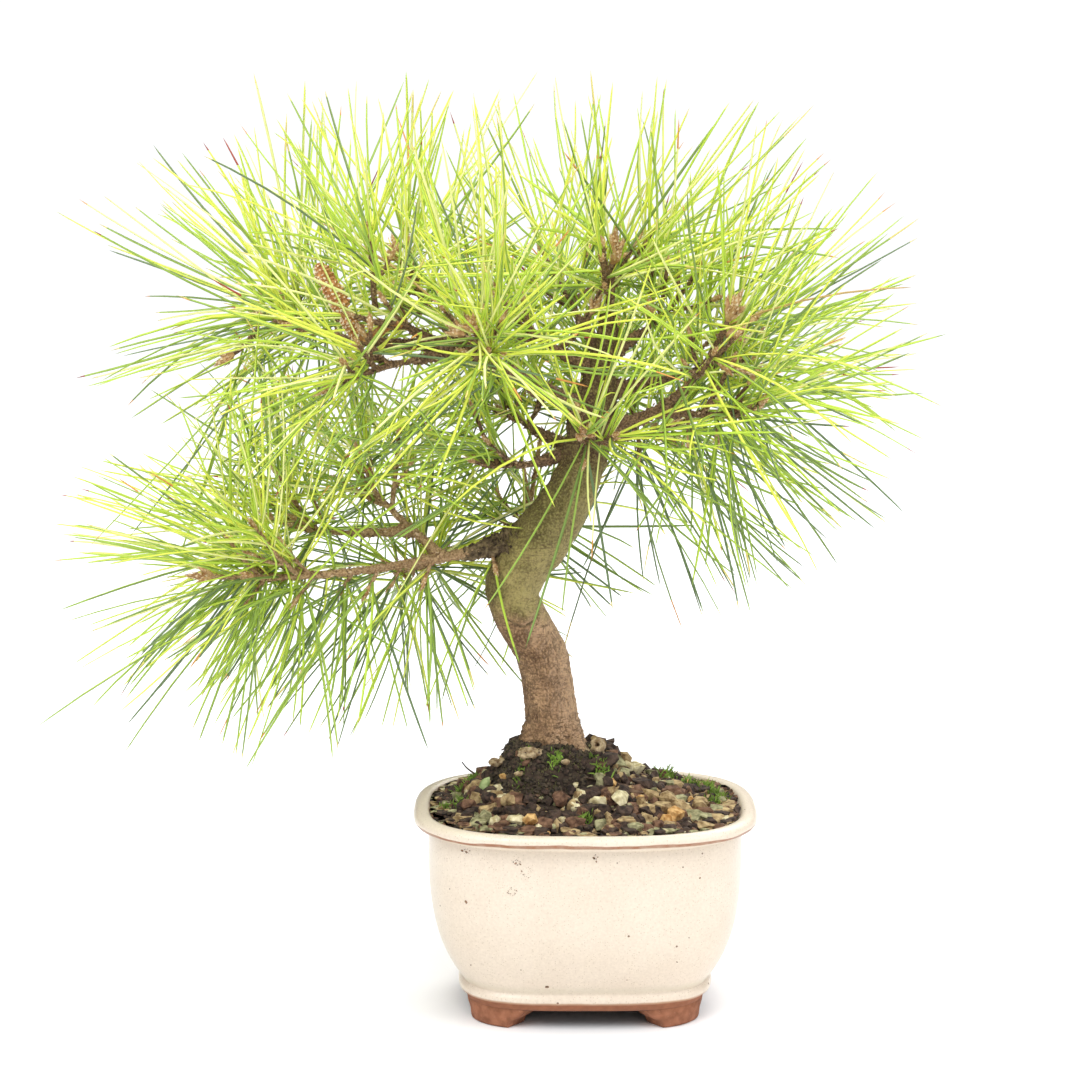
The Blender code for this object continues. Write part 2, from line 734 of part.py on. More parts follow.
def best_spray(root, axis, opening, turn, surface, room, rng):
    """The largest spray with room at one place, tried at several sizes and turns, or None."""
    length = NEEDLE_LENGTH * rng.uniform(0.92, 1.06)
    best, most = None, 0
    for size, shift in [(size, shift) for size in SPRAY_SIZES for shift in SPRAY_TURNS]:
        ahead = lean(axis, opening + rng.uniform(-0.1, 0.1), turn + shift)
        ahead = off_face(root, ahead, axis, surface)
        spray = plan_spray(root, ahead, axis, length * size, rng)
        rows = [needle_points(root, tip) for tip in spray.tips]
        good = [k for k, row in enumerate(rows) if room(row)]
        if len(good) * size > most:
            most = len(good) * size
            best = (spray._replace(tips=[spray.tips[k] for k in good]), [rows[k] for k in good])
        if len(good) == SPRAY_TINES:
            break
    return best


def plan_mass(limb, shoots, surfaces, own, others, wood, wood_sizes, rng):
    """The sprays of one mass. One that would leave its space is turned, shortened, thinned or left out."""
    sprays, placed = [], []

    def room(row):
        return fits(*row, own, others, wood, wood_sizes, placed)

    for index, root, axis, opening, turn in spray_sites(limb, shoots, rng):
        best = best_spray(root, axis, opening, turn, surfaces[index], room, rng)
        if best:
            spray, rows = best
            spray, web_rows = with_notches(spray, room)
            sprays.append(spray)
            placed.extend(rows + web_rows)
    return sprays


def spray_object(spray, name, collection):
    """The blade's mesh: a short heel inside the twig that splits into pointed tines."""
    shape = bmesh.new()
    normal = spray.flat.cross(spray.ahead).normalized() * TINE_THICKNESS / 2
    half = spray.flat * ROOT_WIDTH / 2
    edge = [spray.root - half, *spray.notches, spray.root + half]
    upper = [shape.verts.new(p + normal) for p in edge]
    lower = [shape.verts.new(p - normal) for p in edge]
    if len(edge) > 2:
        shape.faces.new((upper[0], upper[-1], *reversed(upper[1:-1])))
        shape.faces.new((lower[-1], lower[0], *lower[1:-1]))
    shape.faces.new((upper[0], lower[0], lower[-1], upper[-1]))
    for k, place in enumerate(spray.tips):
        tip = shape.verts.new(place)
        shape.faces.new((upper[k], upper[k + 1], tip))
        shape.faces.new((lower[k + 1], lower[k], tip))
        shape.faces.new((lower[k], upper[k], tip))
        shape.faces.new((upper[k + 1], lower[k + 1], tip))
    return object_from_bmesh(shape, name, collection)


def make_shoots(limb, shoots, radii, collection):
    """The stem and the side twigs of a mass, as four-sided bars."""
    bars = [tube(shoots[0], radii, 4, f"{limb.name}_stem", collection)]
    for i, twig in enumerate(shoots[1:]):
        sizes = even(TWIG_RADIUS, TWIG_RADIUS * 0.9, len(twig))
        bars.append(tube(twig, sizes, 4, f"{limb.name}_twig_{i}", collection))
    return bars


def surface_of(thing):
    """The object's faces, ready to be searched."""
    mesh = thing.data
    return BVHTree.FromPolygons([v.co for v in mesh.vertices], [face.vertices for face in mesh.polygons])


def join_mass(name, pieces, solver):
    """One Boolean union of a mass's bars and sprays, cleared of scraps and of edges inside flat faces."""
    stem = pieces.objects[0]
    mass = bpy.data.objects.new(name, stem.data.copy())
    bpy.context.scene.collection.objects.link(mass)
    pieces.objects.unlink(stem)
    boolean(mass, "UNION", pieces, solver)
    pieces.objects.link(stem)
    drop_scraps(mass)
    merge_flat_faces(mass)
    return mass


def make_mass(limb, shoots, radii, plan, collection, material):
    """One mass of foliage: its stem, side twigs and sprays of needles, joined into one solid."""
    name = f"foliage_{limb.name}"
    pieces = make_collection(f"{name}_pieces")
    bars = make_shoots(limb, shoots, radii, pieces)
    sprays = plan([surface_of(bar) for bar in bars])
    for i, spray in enumerate(sprays):
        spray_object(spray, f"{name}_spray_{i}", pieces)
    mass = join_mass(name, pieces, "EXACT")
    if not is_closed(mass):
        bpy.data.objects.remove(mass, do_unlink=True)
        mass = join_mass(name, pieces, "MANIFOLD")
    remove_collection(pieces)
    bpy.context.scene.collection.objects.unlink(mass)
    collection.objects.link(mass)
    mass.name = name
    mass.data.materials.clear()
    mass.data.materials.append(material)
    return mass


def wood_points(roots):
    """Points of all bare wood, and their radii."""
    places, sizes = [], []
    bars = [trunk_path()] + [bough_path(limb, roots[limb.name]) for limb in LIMBS]
    for points, radii in bars:
        for a, b, ra, rb in zip(points, points[1:], radii, radii[1:]):
            count = max(1, math.ceil((b - a).length / (4 * MM)))
            places += [a.lerp(b, i / count) for i in range(count)]
            sizes += [max(ra, rb)] * count
        places.append(points[-1])
        sizes.append(radii[-1])
    return np.array(places), np.array(sizes)


def make_foliage(collection, material, roots):
    """Every mass of foliage, each in the space nearest its own stem and twigs."""
    rng = random.Random(SEED)
    masses = {}
    for limb in (*LIMBS, APEX):
        stem, radii = stem_path(limb, roots.get(limb.name))
        twigs = twig_paths(limb, stem, rng)
        masses[limb.name] = (limb, [stem, *twigs], radii, sampled([stem, *twigs]))
    wood, wood_sizes = wood_points(roots)
    for name, (limb, shoots, radii, own) in masses.items():
        others = np.concatenate([row[3] for other, row in masses.items() if other != name])

        def plan(surfaces):
            return plan_mass(limb, shoots, surfaces, own, others, wood, wood_sizes, rng)

        make_mass(limb, shoots, radii, plan, collection, material)


def main():
    """Builds the whole plant and sets it on its origin."""
    clear_scene()
    plant = make_collection("black_pine_bonsai")
    glaze = make_material("cream_glaze", (0.86, 0.80, 0.66), 0.22)
    clay = make_material("bare_clay", (0.42, 0.22, 0.14), 0.8)
    earth = make_material("gritty_soil", (0.10, 0.075, 0.055), 0.95)
    bark = make_material("bark", (0.36, 0.25, 0.15), 0.85)
    needles = make_material("needles", (0.30, 0.45, 0.08), 0.55)
    make_pot(plant, glaze)
    make_feet(plant, clay)
    make_soil(plant, earth)
    make_trunk(plant, bark)
    roots = limb_paths()
    make_boughs(plant, bark, roots)
    make_foliage(plant, needles, roots)
    stand = bpy.data.objects.new("bonsai_origin", None)
    plant.objects.link(stand)
    stand.location = (-ORIGIN_X, -ORIGIN_Y, 0)
    for thing in plant.objects:
        if thing.type == "MESH":
            thing.parent = stand


main()
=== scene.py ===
"""The looks of a black pine bonsai in its cream glazed pot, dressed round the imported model.

Lengths are metres. Shapes are worked out from the middle of the pot's footprint, and CENTRE carries
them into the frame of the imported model.
"""

import itertools
import json
import math
import random
from typing import NamedTuple

import bpy
import numpy as np
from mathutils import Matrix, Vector, noise

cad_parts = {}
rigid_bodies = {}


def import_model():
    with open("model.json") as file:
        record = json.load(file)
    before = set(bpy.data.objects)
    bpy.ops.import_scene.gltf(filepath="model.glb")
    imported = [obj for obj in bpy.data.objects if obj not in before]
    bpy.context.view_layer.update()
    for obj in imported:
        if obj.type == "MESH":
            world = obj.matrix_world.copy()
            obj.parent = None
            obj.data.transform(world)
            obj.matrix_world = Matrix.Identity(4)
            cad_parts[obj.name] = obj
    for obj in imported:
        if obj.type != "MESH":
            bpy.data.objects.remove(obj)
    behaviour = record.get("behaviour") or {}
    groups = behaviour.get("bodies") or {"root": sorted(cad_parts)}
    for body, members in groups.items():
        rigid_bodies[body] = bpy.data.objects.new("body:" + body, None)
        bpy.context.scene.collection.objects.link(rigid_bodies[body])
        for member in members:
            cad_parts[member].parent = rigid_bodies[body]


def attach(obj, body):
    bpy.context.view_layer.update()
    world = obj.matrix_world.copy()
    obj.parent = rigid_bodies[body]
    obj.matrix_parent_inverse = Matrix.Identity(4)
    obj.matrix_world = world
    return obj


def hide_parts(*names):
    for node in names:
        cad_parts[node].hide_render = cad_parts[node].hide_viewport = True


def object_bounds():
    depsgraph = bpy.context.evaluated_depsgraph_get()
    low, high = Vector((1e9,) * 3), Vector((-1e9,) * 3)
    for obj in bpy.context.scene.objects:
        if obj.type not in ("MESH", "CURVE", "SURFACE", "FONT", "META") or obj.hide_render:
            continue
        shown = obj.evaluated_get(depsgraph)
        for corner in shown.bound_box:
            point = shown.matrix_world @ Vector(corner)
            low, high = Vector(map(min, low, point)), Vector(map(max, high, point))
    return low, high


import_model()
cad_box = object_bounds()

bl_info = {
    "name": "Potted Black Pine Bonsai", "version": (1, 0, 0), "blender": (4, 5, 0),
    "location": "View3D > Sidebar > Bonsai",
    "description": "Builds the looks of a black pine bonsai in its cream glazed pot", "category": "Object",
}

MM = 0.001
SEED = 1907
BODY = "root"
CENTRE = np.array((50 * MM, -7.4 * MM, 0))
GOLDEN_ANGLE = math.radians(137.5)

# Pot
RIM_CORNER_POWER = 2.9
BASE_CORNER_POWER = 3.7
POT_SIDES = 192
WALL = 4.6 * MM
LIP_HEIGHT = 8.5 * MM
BODY_TOP_HALF_WIDTH = 79.3 * MM
BODY_FOOT_HALF_WIDTH = 63.6 * MM
BODY_FOOT_HEIGHT = 21 * MM
BODY_CURVE_POWER = 3.5
BASE_HALF_WIDTH = 60.2 * MM
BASE_HEIGHT = 10 * MM
FLOOR_HEIGHT = 19 * MM
HOLLOW_DRAW = 0.3
HOLLOW_POWER = 3.2
# Heights of the glaze's lower edge and of its brown line under the lip, in millimetres
GLAZE_EDGE = 13.9
LINE_HEIGHT = 101.0
# Each pair is how far in from the rim's edge and how far down from its top, in millimetres
LIP_PROFILE = (
    (10.6, 4.2), (8.8, 3.0), (8.3, 1.9), (7.6, 0.9), (6.7, 0.25), (5.6, 0.0), (4.0, 0.05), (2.3, 0.4),
    (1.1, 1.1), (0.35, 2.1), (0.0, 3.4), (0.2, 4.4), (0.9, 5.4), (2.4, 6.2), (4.6, 7.0), (6.6, 7.8),
)
# Groove, moulding and bare band under the body: each pair is a half-width and a height, in millimetres
BASE_PROFILE = (
    (62.7, 19.9), (62.5, 19.2), (63.0, 18.5), (64.0, 17.5), (64.5, 16.3), (64.4, 15.2), (63.9, 14.3),
    (62.9, 13.5), (62.2, 12.6), (61.4, 11.4), (60.9, 10.4), (60.2, 10.0),
)
# Dark pits and iron spots in the glaze: place across, height, and radius, in millimetres
GLAZE_PITS = (
    (-59.2, 68.3, 0.85), (-19.3, 24.1, 0.95), (-61.0, 93.9, 0.75), (-58.9, 93.6, 0.7), (3.5, 93.5, 0.7),
    (4.6, 91.8, 0.5), (-34.6, 90.4, 0.55), (-32.4, 90.0, 0.45), (47.1, 87.6, 0.4), (55.7, 81.1, 0.45),
    (-57.1, 33.8, 0.45), (-32.2, 34.1, 0.35), (44.8, 37.8, 0.4), (20.2, 28.4, 0.3),
)

# Broken rings of tiny spots where bubbles burst in the glaze: place across, height, radius, in millimetres
GLAZE_RINGS = (
    (-29.1, 86.0, 2.6), (-34.0, 90.8, 1.6), (-58.5, 94.3, 1.3), (-36.5, 76.0, 2.2), (4.2, 94.0, 1.2),
)
# The section of a pit: shares of its radius, and heights over the glaze in millimetres
PIT_SECTION = ((1, -0.3), (0.9, 0.1), (0.5, 0.2))

# Bracket feet
FOOT_THICKNESS = 13 * MM
FOOT_FRONT_REACH = 0.47
FOOT_SIDE_REACH = 0.42
# Each pair is a share of the way from the foot's corner to its end, and the height of the lower edge there
FOOT_BRACKET = (
    (0.0, 0.0), (0.3, 0.0), (0.58, 0.0), (0.62, 0.5), (0.64, 1.8), (0.665, 3.3), (0.72, 4.1), (0.78, 4.7),
    (0.84, 5.2), (0.9, 6.2), (0.95, 7.6), (1.0, 8.9),
)

# Soil
SOIL_EDGE_HEIGHT = 99.5 * MM
SOIL_TOP = 131 * MM
SOIL_CLEARANCE = 0.3 * MM
SOIL_GAP = 0.48 * MM
SOIL_POWER = 2.93
CLUMP_MIDDLE = (-21 * MM, 0 * MM)
CLUMP_WIDTHS = (27.5 * MM, 27 * MM)
CLUMP_TOP = 136 * MM
# Each pair is a share of the way out to the wall, and the height there in millimetres
SOIL_RINGS = (
    (0, 131), (0.26, 131), (0.31, 128), (0.38, 122), (0.44, 115), (0.64, 109), (0.84, 103.5), (1, 99.5),
)

SOIL_SIDES = 150
# Low heaps on the soil: place across and deep, half-widths both ways, and height, in millimetres
SOIL_HEAPS = ((32, 16, 26, 24, 2.6), (-46, 3, 19, 22, 6.5))


# Stones, moss, roots and litter on the soil

STONE_CORNERS = 15
STONE_SEEDS = 40
STONE_KINDS = ("dark", "brown", "tan", "grey_green", "cream", "orange")
STONE_SHARES = (0.42, 0.26, 0.18, 0.09, 0.04, 0.01)
# The stones that stand out at the front: kind, place across and deep, and half-width, in millimetres
NAMED_STONES = (
    ("orange", -27.7, -45.5, 5.6), ("orange", 44.7, -34.5, 4.5), ("cream", 17.0, -29.5, 5.4),
    ("cream", -45.0, -43.5, 3.9), ("tan", -38.7, -28.5, 4.2), ("tan", -56.2, -9.5, 4.0),
    ("grey_green", -64.0, -4.8, 3.6), ("grey_green", 6.7, -47.6, 3.8), ("tan", 13.2, -24.0, 3.6),
    ("grey_green", -22.8, -28.0, 2.6), ("grey_green", 69.5, 2.5, 3.2), ("cream", -11.5, -43.0, 2.6),
    ("tan", 29.6, -40.5, 3.2), ("grey_green", 7.3, -19.5, 3.2), ("cream", -4.8, -21.0, 3.0),
    ("grey_green", -49.6, -37.2, 4.0), ("brown", 35.2, -47.2, 3.6), ("tan", 57.7, -17.0, 4.6),
    ("tan", 41.4, -21.2, 4.8), ("orange", 8.0, -29.6, 3.0), ("orange", 27.5, -22.5, 2.2),
    ("brown", -12.9, -31.2, 5.0), ("cream", 22.0, 6.0, 3.2), ("tan", 20.0, 10.0, 4.6),
)
# Tufts of young moss: place across and deep, radius and blade length, in millimetres
MOSS_TUFTS = (
    (-63.0, 6.5, 5.0, 5.5), (-57.0, 6.0, 4.5, 6.0), (-33.5, -18.5, 3.0, 3.2), (-16.0, -19.0, 3.0, 4.0),
    (-62.0, -14.0, 4.5, 6.0), (66.0, -2.0, 4.0, 5.5), (68.0, 6.0, 5.0, 6.0), (7.0, -14.5, 4.5, 6.5),
    (-0.8, -42.5, 4.5, 5.5), (-29.5, -15.8, 3.5, 2.6), (-13.5, -17.5, 2.5, 4.2), (42.0, 22.0, 7.0, 8.0),
    (56.0, 18.0, 7.0, 7.0), (66.0, 14.0, 6.0, 6.5), (62.0, 26.0, 6.0, 6.5), (30.0, 34.0, 7.0, 4.0),
    (-40.0, 30.0, 8.0, 3.5), (-58.0, 22.0, 5.0, 4.5), (0.0, 40.0, 8.0, 3.5), (-70.0, -12.0, 3.0, 3.0),
    (-8.0, 28.0, 6.0, 3.0),
)
# Old root ends that show on the clump: centre and half-widths in millimetres
ROOT_LUMPS = (
    ((-28.4, -14.8, 133.9), (5.2, 4.4, 3.2)), ((-23.6, -15.6, 134.6), (2.6, 2.6, 1.9)),
    ((-45.5, -4.5, 126.6), (3.4, 2.6, 2.0)), ((-41.8, -6.0, 127.6), (2.4, 2.0, 1.6)),
    ((-33.5, -20.5, 125.0), (2.2, 1.6, 1.4)), ((-10.0, -19.0, 130.6), (2.2, 1.8, 1.5)),
)
# The root stubs that carry the knob: places along each, with its radius, in millimetres
KNOB_ROOTS = (
    ((-5, -1, 134, 3.8), (-0.5, -4, 131.5, 3.4), (3.5, -6, 128.5, 3.2), (6.4, -7, 124, 3.6)),
    ((7.4, -6.6, 123, 3.2), (7.2, -6.6, 127, 2.8), (6.8, -6.4, 130.5, 2.6), (6.6, -6.2, 133.5, 2.8)),
)

# A moss blade: where its two rings lie and how wide they are, the turns of a ring, and its faces
BLADE_STATIONS = ((-0.1, 0.8), (0.5, 1.0))
BLADE_TURNS = (0, 2.094, 4.189)
BLADE_FACES = (
    (0, 1, 4), (0, 4, 3), (1, 2, 5), (1, 5, 4), (2, 0, 3), (2, 3, 5), (3, 4, 6), (4, 5, 6), (5, 3, 6),
    (2, 1, 0),
)
# The hollow knob: its place, and pairs of how far out along its axis and how wide, in millimetres
KNOB_PLACE = (6.5, -6.4, 135.8)
KNOB_SIDES = 28
KNOB_PROFILE = (
    (-3.9, 0.1), (-3.6, 1.5), (-2.5, 2.9), (-0.8, 3.8), (1.0, 3.9), (2.4, 3.3), (3.3, 2.5), (3.5, 1.6),
    (2.7, 1.1), (1.2, 1.0), (0.2, 0.7), (-0.2, 0.1),
)
# The leaf blade: places with a half-width, in millimetres, and its section as shares of the half-width
LEAF_PATH = (
    (-53.6, -15.0, 0.5, 0.4), (-52.0, -15.0, 4.2, 2.0), (-49.8, -14.8, 7.8, 2.3), (-48.2, -14.6, 10.4, 0.2),
)
LEAF_SECTION = ((1, 0), (0.5, 0.16), (0, 0.05), (-0.5, 0.16), (-1, 0), (0, -0.14))
# The thin stick: places with a radius, in millimetres
STICK_PATH = (
    (-63.0, 16.0, 121.5, 0.3), (-60.6, 15.4, 118.6, 0.4), (-57.6, 14.6, 116.4, 0.5),
    (-52.0, 13.0, 114.0, 0.55), (-47.0, 12.0, 113.2, 0.5),
)

# Trunk: each row is the height above the soil, the place across and deep, and the radius, in millimetres
TRUNK_STATIONS = (
    (0, -16, 5, 16), (12, -16.4, 5, 14), (26, -18.2, 5, 13.2), (50, -22.3, 4, 13.2), (67, -31.4, 2, 13),
    (81, -36.4, 0, 12.8), (96, -33.0, -1, 14.2), (111, -21.3, 0, 15), (125, -11.8, 1, 13.2),
    (140, -3.8, 2, 11.6), (154, 0.6, 3, 11.3), (169, 3.1, 4, 11.8), (184, 6, 5, 9), (201, 9, 6, 6.2),
    (221, 11.3, 5, 4),
)
# A station under the soil, where the solid has its root: place across and deep, height and radius
TRUNK_FOOT = (-16, 5, 124, 16.5)
FOLD_HEIGHT = 198 * MM
# Short dead stubs on the upper trunk: base, direction and radius, in millimetres
TRUNK_STUBS = (
    ((-16.0, -1.0, 257.5), (-0.8, -0.2, 0.6), 2.6), ((-11.5, -2.0, 246.5), (-0.9, -0.3, 0.3), 2.1),
    ((-42.0, -4.0, 238.5), (-0.7, -0.4, 0.6), 2.4), ((-38.0, -6.0, 231.0), (-0.9, -0.4, -0.2), 1.9),
    ((-21.5, -4.0, 246.0), (-0.6, -0.4, 0.8), 2.8), ((-27.5, -5.0, 240.5), (-0.5, -0.5, 0.8), 2.4),
    ((-8.5, -3.0, 266.0), (-0.9, -0.3, 0.4), 2.6),
)
# Rough swellings at the root of the lowest left bough: shares of the bough, and a radius in millimetres
BURLS = ((0.02, 0.15, 7.2), (0.09, 0.2, 5.2), (0.15, 0.25, 3.7))
FLARE_ROOTS = 6
FLARE_REACH = 17 * MM
FLARE_HEIGHT = 17 * MM
FLARE_RADIUS = 6.5 * MM
# Each row is a share of the flare's reach, of its height and of its radius, from the trunk to the soil
FLARE_SHAPE = ((0, 1.5, 1.2), (0.52, 0.62, 1.05), (0.86, 0.12, 0.8), (1.02, -0.3, 0.6))

# Foliage
BASE_OPENING = math.radians(84)
TIP_OPENING = math.radians(28)
DROOP = 0.12
TWIG_LENGTH = 32 * MM
TWIG_RADIUS = 2.3 * MM
TWIG_OPENING = math.radians(52)
LOWEST_NEEDLE = 137 * MM
WOOD_ROOM = 0.6 * MM


class Limb(NamedTuple):
    """A tapering limb. Its first share is the bare bough, and the rest is the stem of a mass of needles."""

    name: str
    parent: str
    leaves: float  # height above the soil in millimetres on the trunk, or a share of the parent limb
    heading: float  # degrees, 0 to the right and 90 to the back
    reach: float  # level distance from root to tip, in millimetres
    rise: float  # height of the tip above the root, in millimetres
    arch: float  # height of the middle above a straight limb, in millimetres
    swing: float  # sideways bow of the middle, to the left of the heading, in millimetres
    turn_up: float  # how far the last stretch bends upwards, in millimetres
    thick: float  # radius at the root, in millimetres
    thin: float  # radius at the tip, in millimetres
    bare: float  # share of the limb that is bough
    twigs: int


LIMBS = (
    Limb("low_left", "trunk", 111, 188.7, 164, -16, -3, 2, 6, 5.6, 2.2, 0.6, 3),
    Limb("low_left_rise", "low_left", 0.31, 143, 53, 38, -1, -3, 8, 3.6, 2.0, 0.56, 2),
    Limb("low_left_back", "low_left_rise", 0.4, 154, 82, 0, -1, 2, 7, 2.7, 1.8, 0.4, 2),
    Limb("low_left_under", "low_left", 0.36, 113, 31, -19, 3, 0, 0, 2.6, 1.8, 0.34, 1),
    Limb("low_back", "trunk", 112, 97, 81, 2, -2, 3, 8, 4.2, 2.0, 0.45, 2),
    Limb("mid_left", "trunk", 156, 167, 56, -8, -2, 2, 8, 4.2, 2.0, 0.46, 1),
    Limb("upper_left", "trunk", 171, 196.8, 135, 74, 7, 9, 25, 6, 2.3, 0.68, 2),
    Limb("upper_front", "upper_left", 0.22, 243, 67, 34, 2, -3, 10, 3.6, 2.0, 0.36, 2),
    Limb("top_left", "upper_left", 0.42, 129, 73, 51, 2, 4, 14, 3.4, 2.0, 0.4, 2),
    Limb("far_left", "upper_left", 0.58, 142, 118, 18, -2, 6, 14, 3.2, 1.9, 0.45, 2),
    Limb("left_hang", "upper_left", 0.5, 206, 70, -12, 4, -3, 2, 3.0, 1.9, 0.36, 2),
    Limb("top_mid", "trunk", 191, 189, 49, 36, 2, -3, 12, 3.6, 2.0, 0.4, 1),
    Limb("top_back", "trunk", 201, 107, 72, 37, 2, 2, 10, 3.6, 2.0, 0.42, 2),
    Limb("top_right", "trunk", 199, 8, 46, 42, 0, 0, 12, 3.4, 2.0, 0.4, 1),
    Limb("right", "trunk", 166, 332, 74, 56, -9, 2, 20, 5.4, 2.3, 0.66, 2),
    Limb("right_low", "right", 0.5, 340, 50, 4, -1, -2, 6, 3.2, 1.9, 0.3, 2),
    Limb("right_back", "trunk", 183, 26, 88, 23, -2, 4, 12, 4.2, 2.0, 0.45, 2),
    Limb("right_hang", "trunk", 158, 42, 58, -5, 3, 0, 0, 3.8, 1.9, 0.46, 2),
    Limb("back", "trunk", 170, 82, 85, 9, -1, 0, 8, 4.2, 2.0, 0.45, 2),
    Limb("back_left", "trunk", 153, 118, 93, 20, -1, 4, 8, 4.2, 2.0, 0.5, 2),
    Limb("front", "trunk", 160, 268, 43, 7, 0, 0, 5, 3.4, 1.9, 0.42, 1),
)
APEX = Limb("apex", "trunk", 221, 0, 0, 0, 0, 0, 0, 3.2, 2.0, 0, 2)
MASSES = (*LIMBS, APEX)
APEX_STEM = Vector((2.2, -5, 30)) * MM
CLEARANCE = 0.3 * MM
BOUGH_STATIONS = 5
STEM_STATIONS = 4

# Needles, buds and the cone

# How slim a bough is and how far it flares at its root, as shares of the limb's radius
BOUGH_SHAPES = {
    "low_left": (0.52, 0.76), "low_left_rise": (0.66, 0.36), "mid_left": (0.8, 0.3),
    "upper_left": (0.66, 0.56), "right": (0.7, 0.5),
}
# How much farther apart than usual the needles of a mass stand
SPARSENESS = {
    "low_left": 0.72, "low_left_rise": 1.65, "low_left_back": 1.75, "low_left_under": 0.75,
    "low_back": 1.35, "mid_left": 1.45, "upper_left": 0.9, "upper_front": 0.95, "top_left": 1.8,
    "far_left": 1.15, "left_hang": 1.3, "top_mid": 2.8, "top_back": 2.5, "top_right": 2.8, "apex": 2.6,
    "right": 2.1, "right_low": 1.6, "right_back": 2.4, "right_hang": 1.2, "back": 1.7, "back_left": 1.45,
    "front": 1.1,
}
# How much lighter the needles of a mass are painted than the light at its place gives
MASS_TONES = {
    "low_left": 0.22, "low_left_back": 0.1, "right": -0.1, "right_low": -0.2, "right_back": -0.12,
    "right_hang": -0.28, "top_right": -0.06,
}
# How much more steeply than usual the low needles of a mass hang
MASS_HANG = {"low_left": 0.7, "right_low": 0.5, "right_hang": 0.4}
# Short shoots that hang under a bough: the limb, the share it leaves at, and its way in millimetres
HANGING_SHOOTS = (
    ("low_left", 0.16, (2, -6, -8)), ("front", 0.6, (-2, -4, -9)), ("low_left", 0.34, (-3, -4, -8)),
    ("low_left", 0.43, (-5, 3, -9)), ("low_left", 0.5, (-5, -4, -9)), ("low_left", 0.58, (-6, 4, -10)),
    ("low_left", 0.7, (-7, -3, -10)), ("low_left", 0.84, (-8, 3, -10)), ("right_low", 0.3, (0, -2, -10)),
    ("right_low", 0.6, (0, 2, -10)), ("right_hang", 0.6, (0, -4, -10)),
)
# Where the sky shows between the masses from the front: a place behind the plant and a width, in millimetres
SKY_GAPS = (
    ((-20.0, 170.0, 260.0), 17), ((-37.5, 170.0, 269.5), 9), ((-102.0, 170.0, 306.0), 9),
    ((-240.0, 170.0, 272.0), 16), ((27.0, 170.0, 226.0), 14), ((50.0, 170.0, 199.0), 14),
)
# Heights between which the trunk shows through the needles
TRUNK_SHOWN = (178 * MM, 286 * MM)
# Boughs that show through the needles: how far out, and the share of the needles before them that stays
SHOWN_LIMBS = {"low_left": (1.0, 0.3), "low_left_rise": (0.8, 0.3), "low_left_back": (1.0, 0.5)}
# Where along a needle its rings lie, and how wide it is there
NEEDLE_STATIONS = (
    (0.0, 0.72), (0.07, 0.9), (0.24, 1.0), (0.45, 1.0), (0.66, 0.96), (0.85, 0.84), (0.955, 0.6),
)
NEEDLE_TONES = ("pale", "lime", "fresh", "green", "deep", "blue")
TIP_TONES = {
    "tip_yellow": (0.8, 0.68, 0.2), "tip_orange": (0.7, 0.32, 0.08), "tip_red": (0.36, 0.06, 0.03),
    "straw": (0.6, 0.4, 0.16),
}
# The bark of a twig under its leaf cushions, as a share of the twig's radius
TWIG_SLIMNESS = 0.6
# Length and radius of the largest winter buds, in millimetres
LARGE_BUDS = {
    "right": (17, 2.3), "upper_front": (13, 2.1), "apex": (15, 2.2), "low_left": (14, 2.2),
    "top_left": (12, 2.0),
}
# Buds that stand out from the front: the limb that carries each, where it sits, its length and its radius,
# in millimetres
NAMED_BUDS = (
    ("right", (64.5, -28, 331.5), 17, 2.3), ("right", (67.5, -28, 345.5), 14, 2.1),
    ("top_mid", (13.0, 0, 378.5), 13, 2.1), ("top_mid", (2.8, 0, 354.0), 11, 1.8),
    ("top_right", (31.3, 0, 354.0), 11, 1.9), ("top_left", (-94.6, 20, 379.0), 13, 2.0),
    ("far_left", (-177.2, 20, 330.7), 11, 2.2), ("upper_front", (-59.0, -60, 348.4), 13, 2.0),
)
# The twig whose end is a spent cone, and where each clump of it begins and ends, counted back from the
# twig's tip, with its radius, in millimetres
CONE_LIMB = "upper_left"
CONE_SPANS = ((26, 0, 4.3), (41, 28, 4.0))
CONE_PITCH = 2.1 * MM
CONE_TWIG = 44 * MM
# Where the twig's end turns up under the cone, in millimetres
CONE_TRACK = (
    (-107.5, -29.0, 344.5), (-114.0, -31.0, 351.0), (-119.5, -33.5, 362.0), (-129.0, -35.0, 380.0),
)

